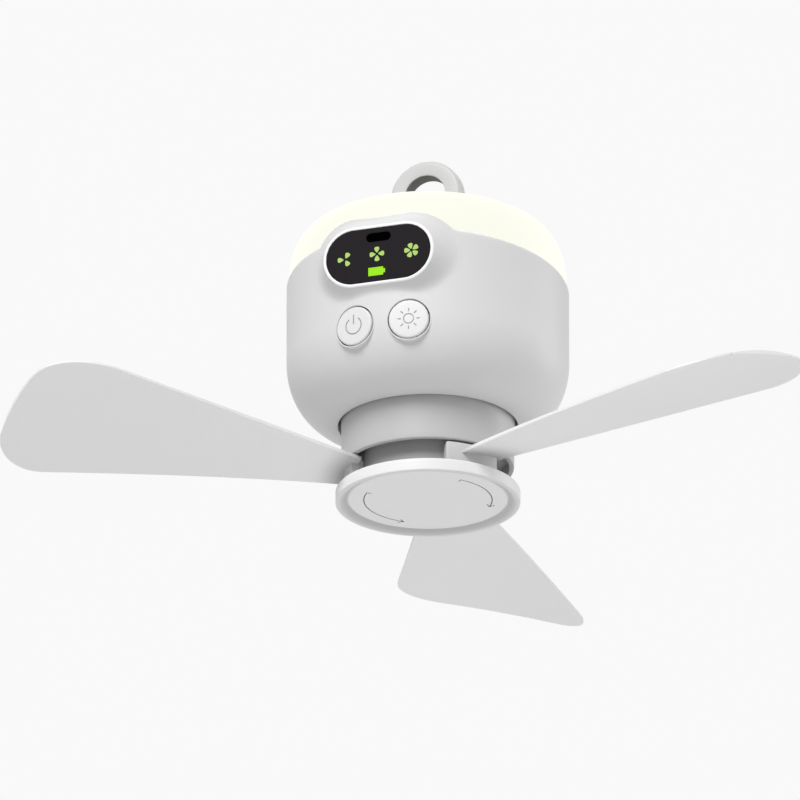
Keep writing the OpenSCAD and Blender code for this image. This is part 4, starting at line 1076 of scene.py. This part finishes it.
def makeRing():
    eye, half, steps = ring["eye"], ring["depth"] / 2, ring["legSteps"]
    bm = bmesh.new()
    face = bm.faces.new([bm.verts.new((x, y, 0)) for x, y in ringSection()])
    bow = bmesh.ops.spin(bm, geom=[face], cent=(0, 0, 0), axis=(0, -1, 0), angle=math.pi, steps=64)
    for ends in ([face], [f for f in bow["geom_last"] if isinstance(f, bmesh.types.BMFace)]):
        for _ in range(steps):
            border = list({e for f in ends for e in f.edges})
            made = bmesh.ops.extrude_face_region(bm, geom=ends + border)["geom"]
            ends = [f for f in made if isinstance(f, bmesh.types.BMFace)]
            lowered = [v for v in made if isinstance(v, bmesh.types.BMVert)]
            bmesh.ops.translate(bm, verts=lowered, vec=(0, 0, ring["pivot"] / steps))
    for f in outward(bm).faces:  # the inside of the eye, darker as painted shade
        middle = f.calc_center_median()
        inside = math.hypot(middle.x, max(middle.z, 0.0)) < eye + ring["shadeReach"]
        f.material_index = int(inside and abs(middle.y) < half - ring["inner"])
    piece = asObject("hangingRing", bm, "ringGrey", "ringPaintedShade")
    across = moved(0, 0, ring["pivot"]) @ Matrix.Rotation(math.radians(90), 4, "Y")
    reach = eye + ring["bar"] - ring["round"]
    feet = [([across], half, span, 48) for span in ((-reach, -eye), (eye, reach))]
    combine(piece, "UNION", rods(*feet))
    combine(piece, "DIFFERENCE", rods(([across], ring["pinRadius"], (-20, 20), 40)))
    settle(piece, "hanger", ["hang_ring"], sharp=35)


makeRing()
print("ring made")

# the solids that show as they are get their slot's finish
slotOfNode = {s["node"]: s["material_slot"] for s in frame["record"]["subparts"]}
for name, node in nodes.items():
    if node.hide_render:
        continue
    look = "hubGrey" if name == "rotor_hub" else finishOfSlot[slotOfNode[name]]
    node.data.materials.clear()
    node.data.materials.append(finish[look])
print("solids finished")

studio = {
    "background": 0.947, "floorTone": 0.86, "floorGloss": 0.9, "floorLevel": -1.4,
    "floorRadius": 2.5, "ambient": 0.4,
    # each lamp's strength, the side it comes from and its apparent width in degrees
    "lamps": {
        "key": (2.45, (0.0, -0.77, 0.63), 30.0),
        "side": (0.95, (0.74, 0.66, 0.18), 30.0),
        "low": (0.58, (0.0, 0.25, -1.0), 40.0),
    },
}


# one shader or another by a mask, into the tree's output
def addSwitch(tree, mask, first, second, outputName):
    mixed = addNode(tree, "MixShader")
    for index, value in enumerate((mask, first.outputs[0], second.outputs[0])):
        feed(tree, mixed.inputs[index], value)
    feed(tree, tree.nodes[outputName].inputs["Surface"], mixed.outputs[0])


def makeFloor():
    bm = bmesh.new()
    bmesh.ops.create_circle(bm, cap_ends=True, segments=96, radius=studio["floorRadius"],
                            matrix=moved(0, 0, studio["floorLevel"]))
    tree, shader = addFinish("paleFloor")
    dress(tree, shader, {
        "Base Color": (*grey(studio["floorTone"]), 1), "Roughness": studio["floorGloss"]})
    fromBelow = addNode(tree, "NewGeometry").outputs["Backfacing"]
    addSwitch(tree, fromBelow, shader, addNode(tree, "BsdfTransparent"), "Material Output")
    floor = asObject("floor", bm, "paleFloor")


def makeWorld():
    world = bpy.data.worlds.new("studio")
    bpy.context.scene.world = world
    world.use_nodes = True
    tree = world.node_tree
    light, seen = tree.nodes["Background"], addNode(tree, "Background")
    dress(tree, light, {"Color": (*grey(1), 1), "Strength": studio["ambient"]})
    dress(tree, seen, {"Color": (*grey(studio["background"]), 1)})
    path = addNode(tree, "LightPath").outputs
    either = addMaths(tree, "MAXIMUM", path["Is Camera Ray"], path["Is Glossy Ray"])
    either = addMaths(tree, "MAXIMUM", either, path["Is Transmission Ray"])
    addSwitch(tree, either, light, seen, "World Output")


def addSun(name, strength, source, angle):
    lamp = bpy.data.lights.new(name, "SUN")
    lamp.energy = strength
    lamp.angle = math.radians(angle)
    holder = bpy.data.objects.new(name, lamp)
    holder.rotation_mode = "QUATERNION"
    holder.rotation_quaternion = Vector(source).to_track_quat("Z", "Y")
    bpy.context.scene.collection.objects.link(holder)


camera = {
    "lens": 1352.7, "sensor": 36, "clip": (1, 60), "azimuth": 19.65, "elevation": -21.54,
    "distance": 11.9, "shift": -0.01106, "level": -0.08599,
}


def makeCamera():
    data = bpy.data.cameras.new("view")
    data.lens = camera["lens"]
    data.sensor_width = camera["sensor"]
    data.clip_start, data.clip_end = camera["clip"]
    holder = bpy.data.objects.new("view", data)
    bpy.context.scene.collection.objects.link(holder)
    a, e = math.radians(camera["azimuth"]), math.radians(camera["elevation"])
    back = Vector((math.sin(a) * math.cos(e), -math.cos(a) * math.cos(e), math.sin(e)))
    target = Vector((math.cos(a), math.sin(a), 0)) * camera["shift"] + Vector((0, 0, camera["level"]))
    holder.rotation_mode = "QUATERNION"
    holder.location = target + back * camera["distance"]
    holder.rotation_quaternion = back.to_track_quat("Z", "Y")
    bpy.context.scene.camera = holder


makeFloor()
makeWorld()
for lampName, lamp in studio["lamps"].items():
    addSun(lampName, *lamp)
makeCamera()
bpy.context.scene.view_settings.view_transform = "Standard"
print("stage made")
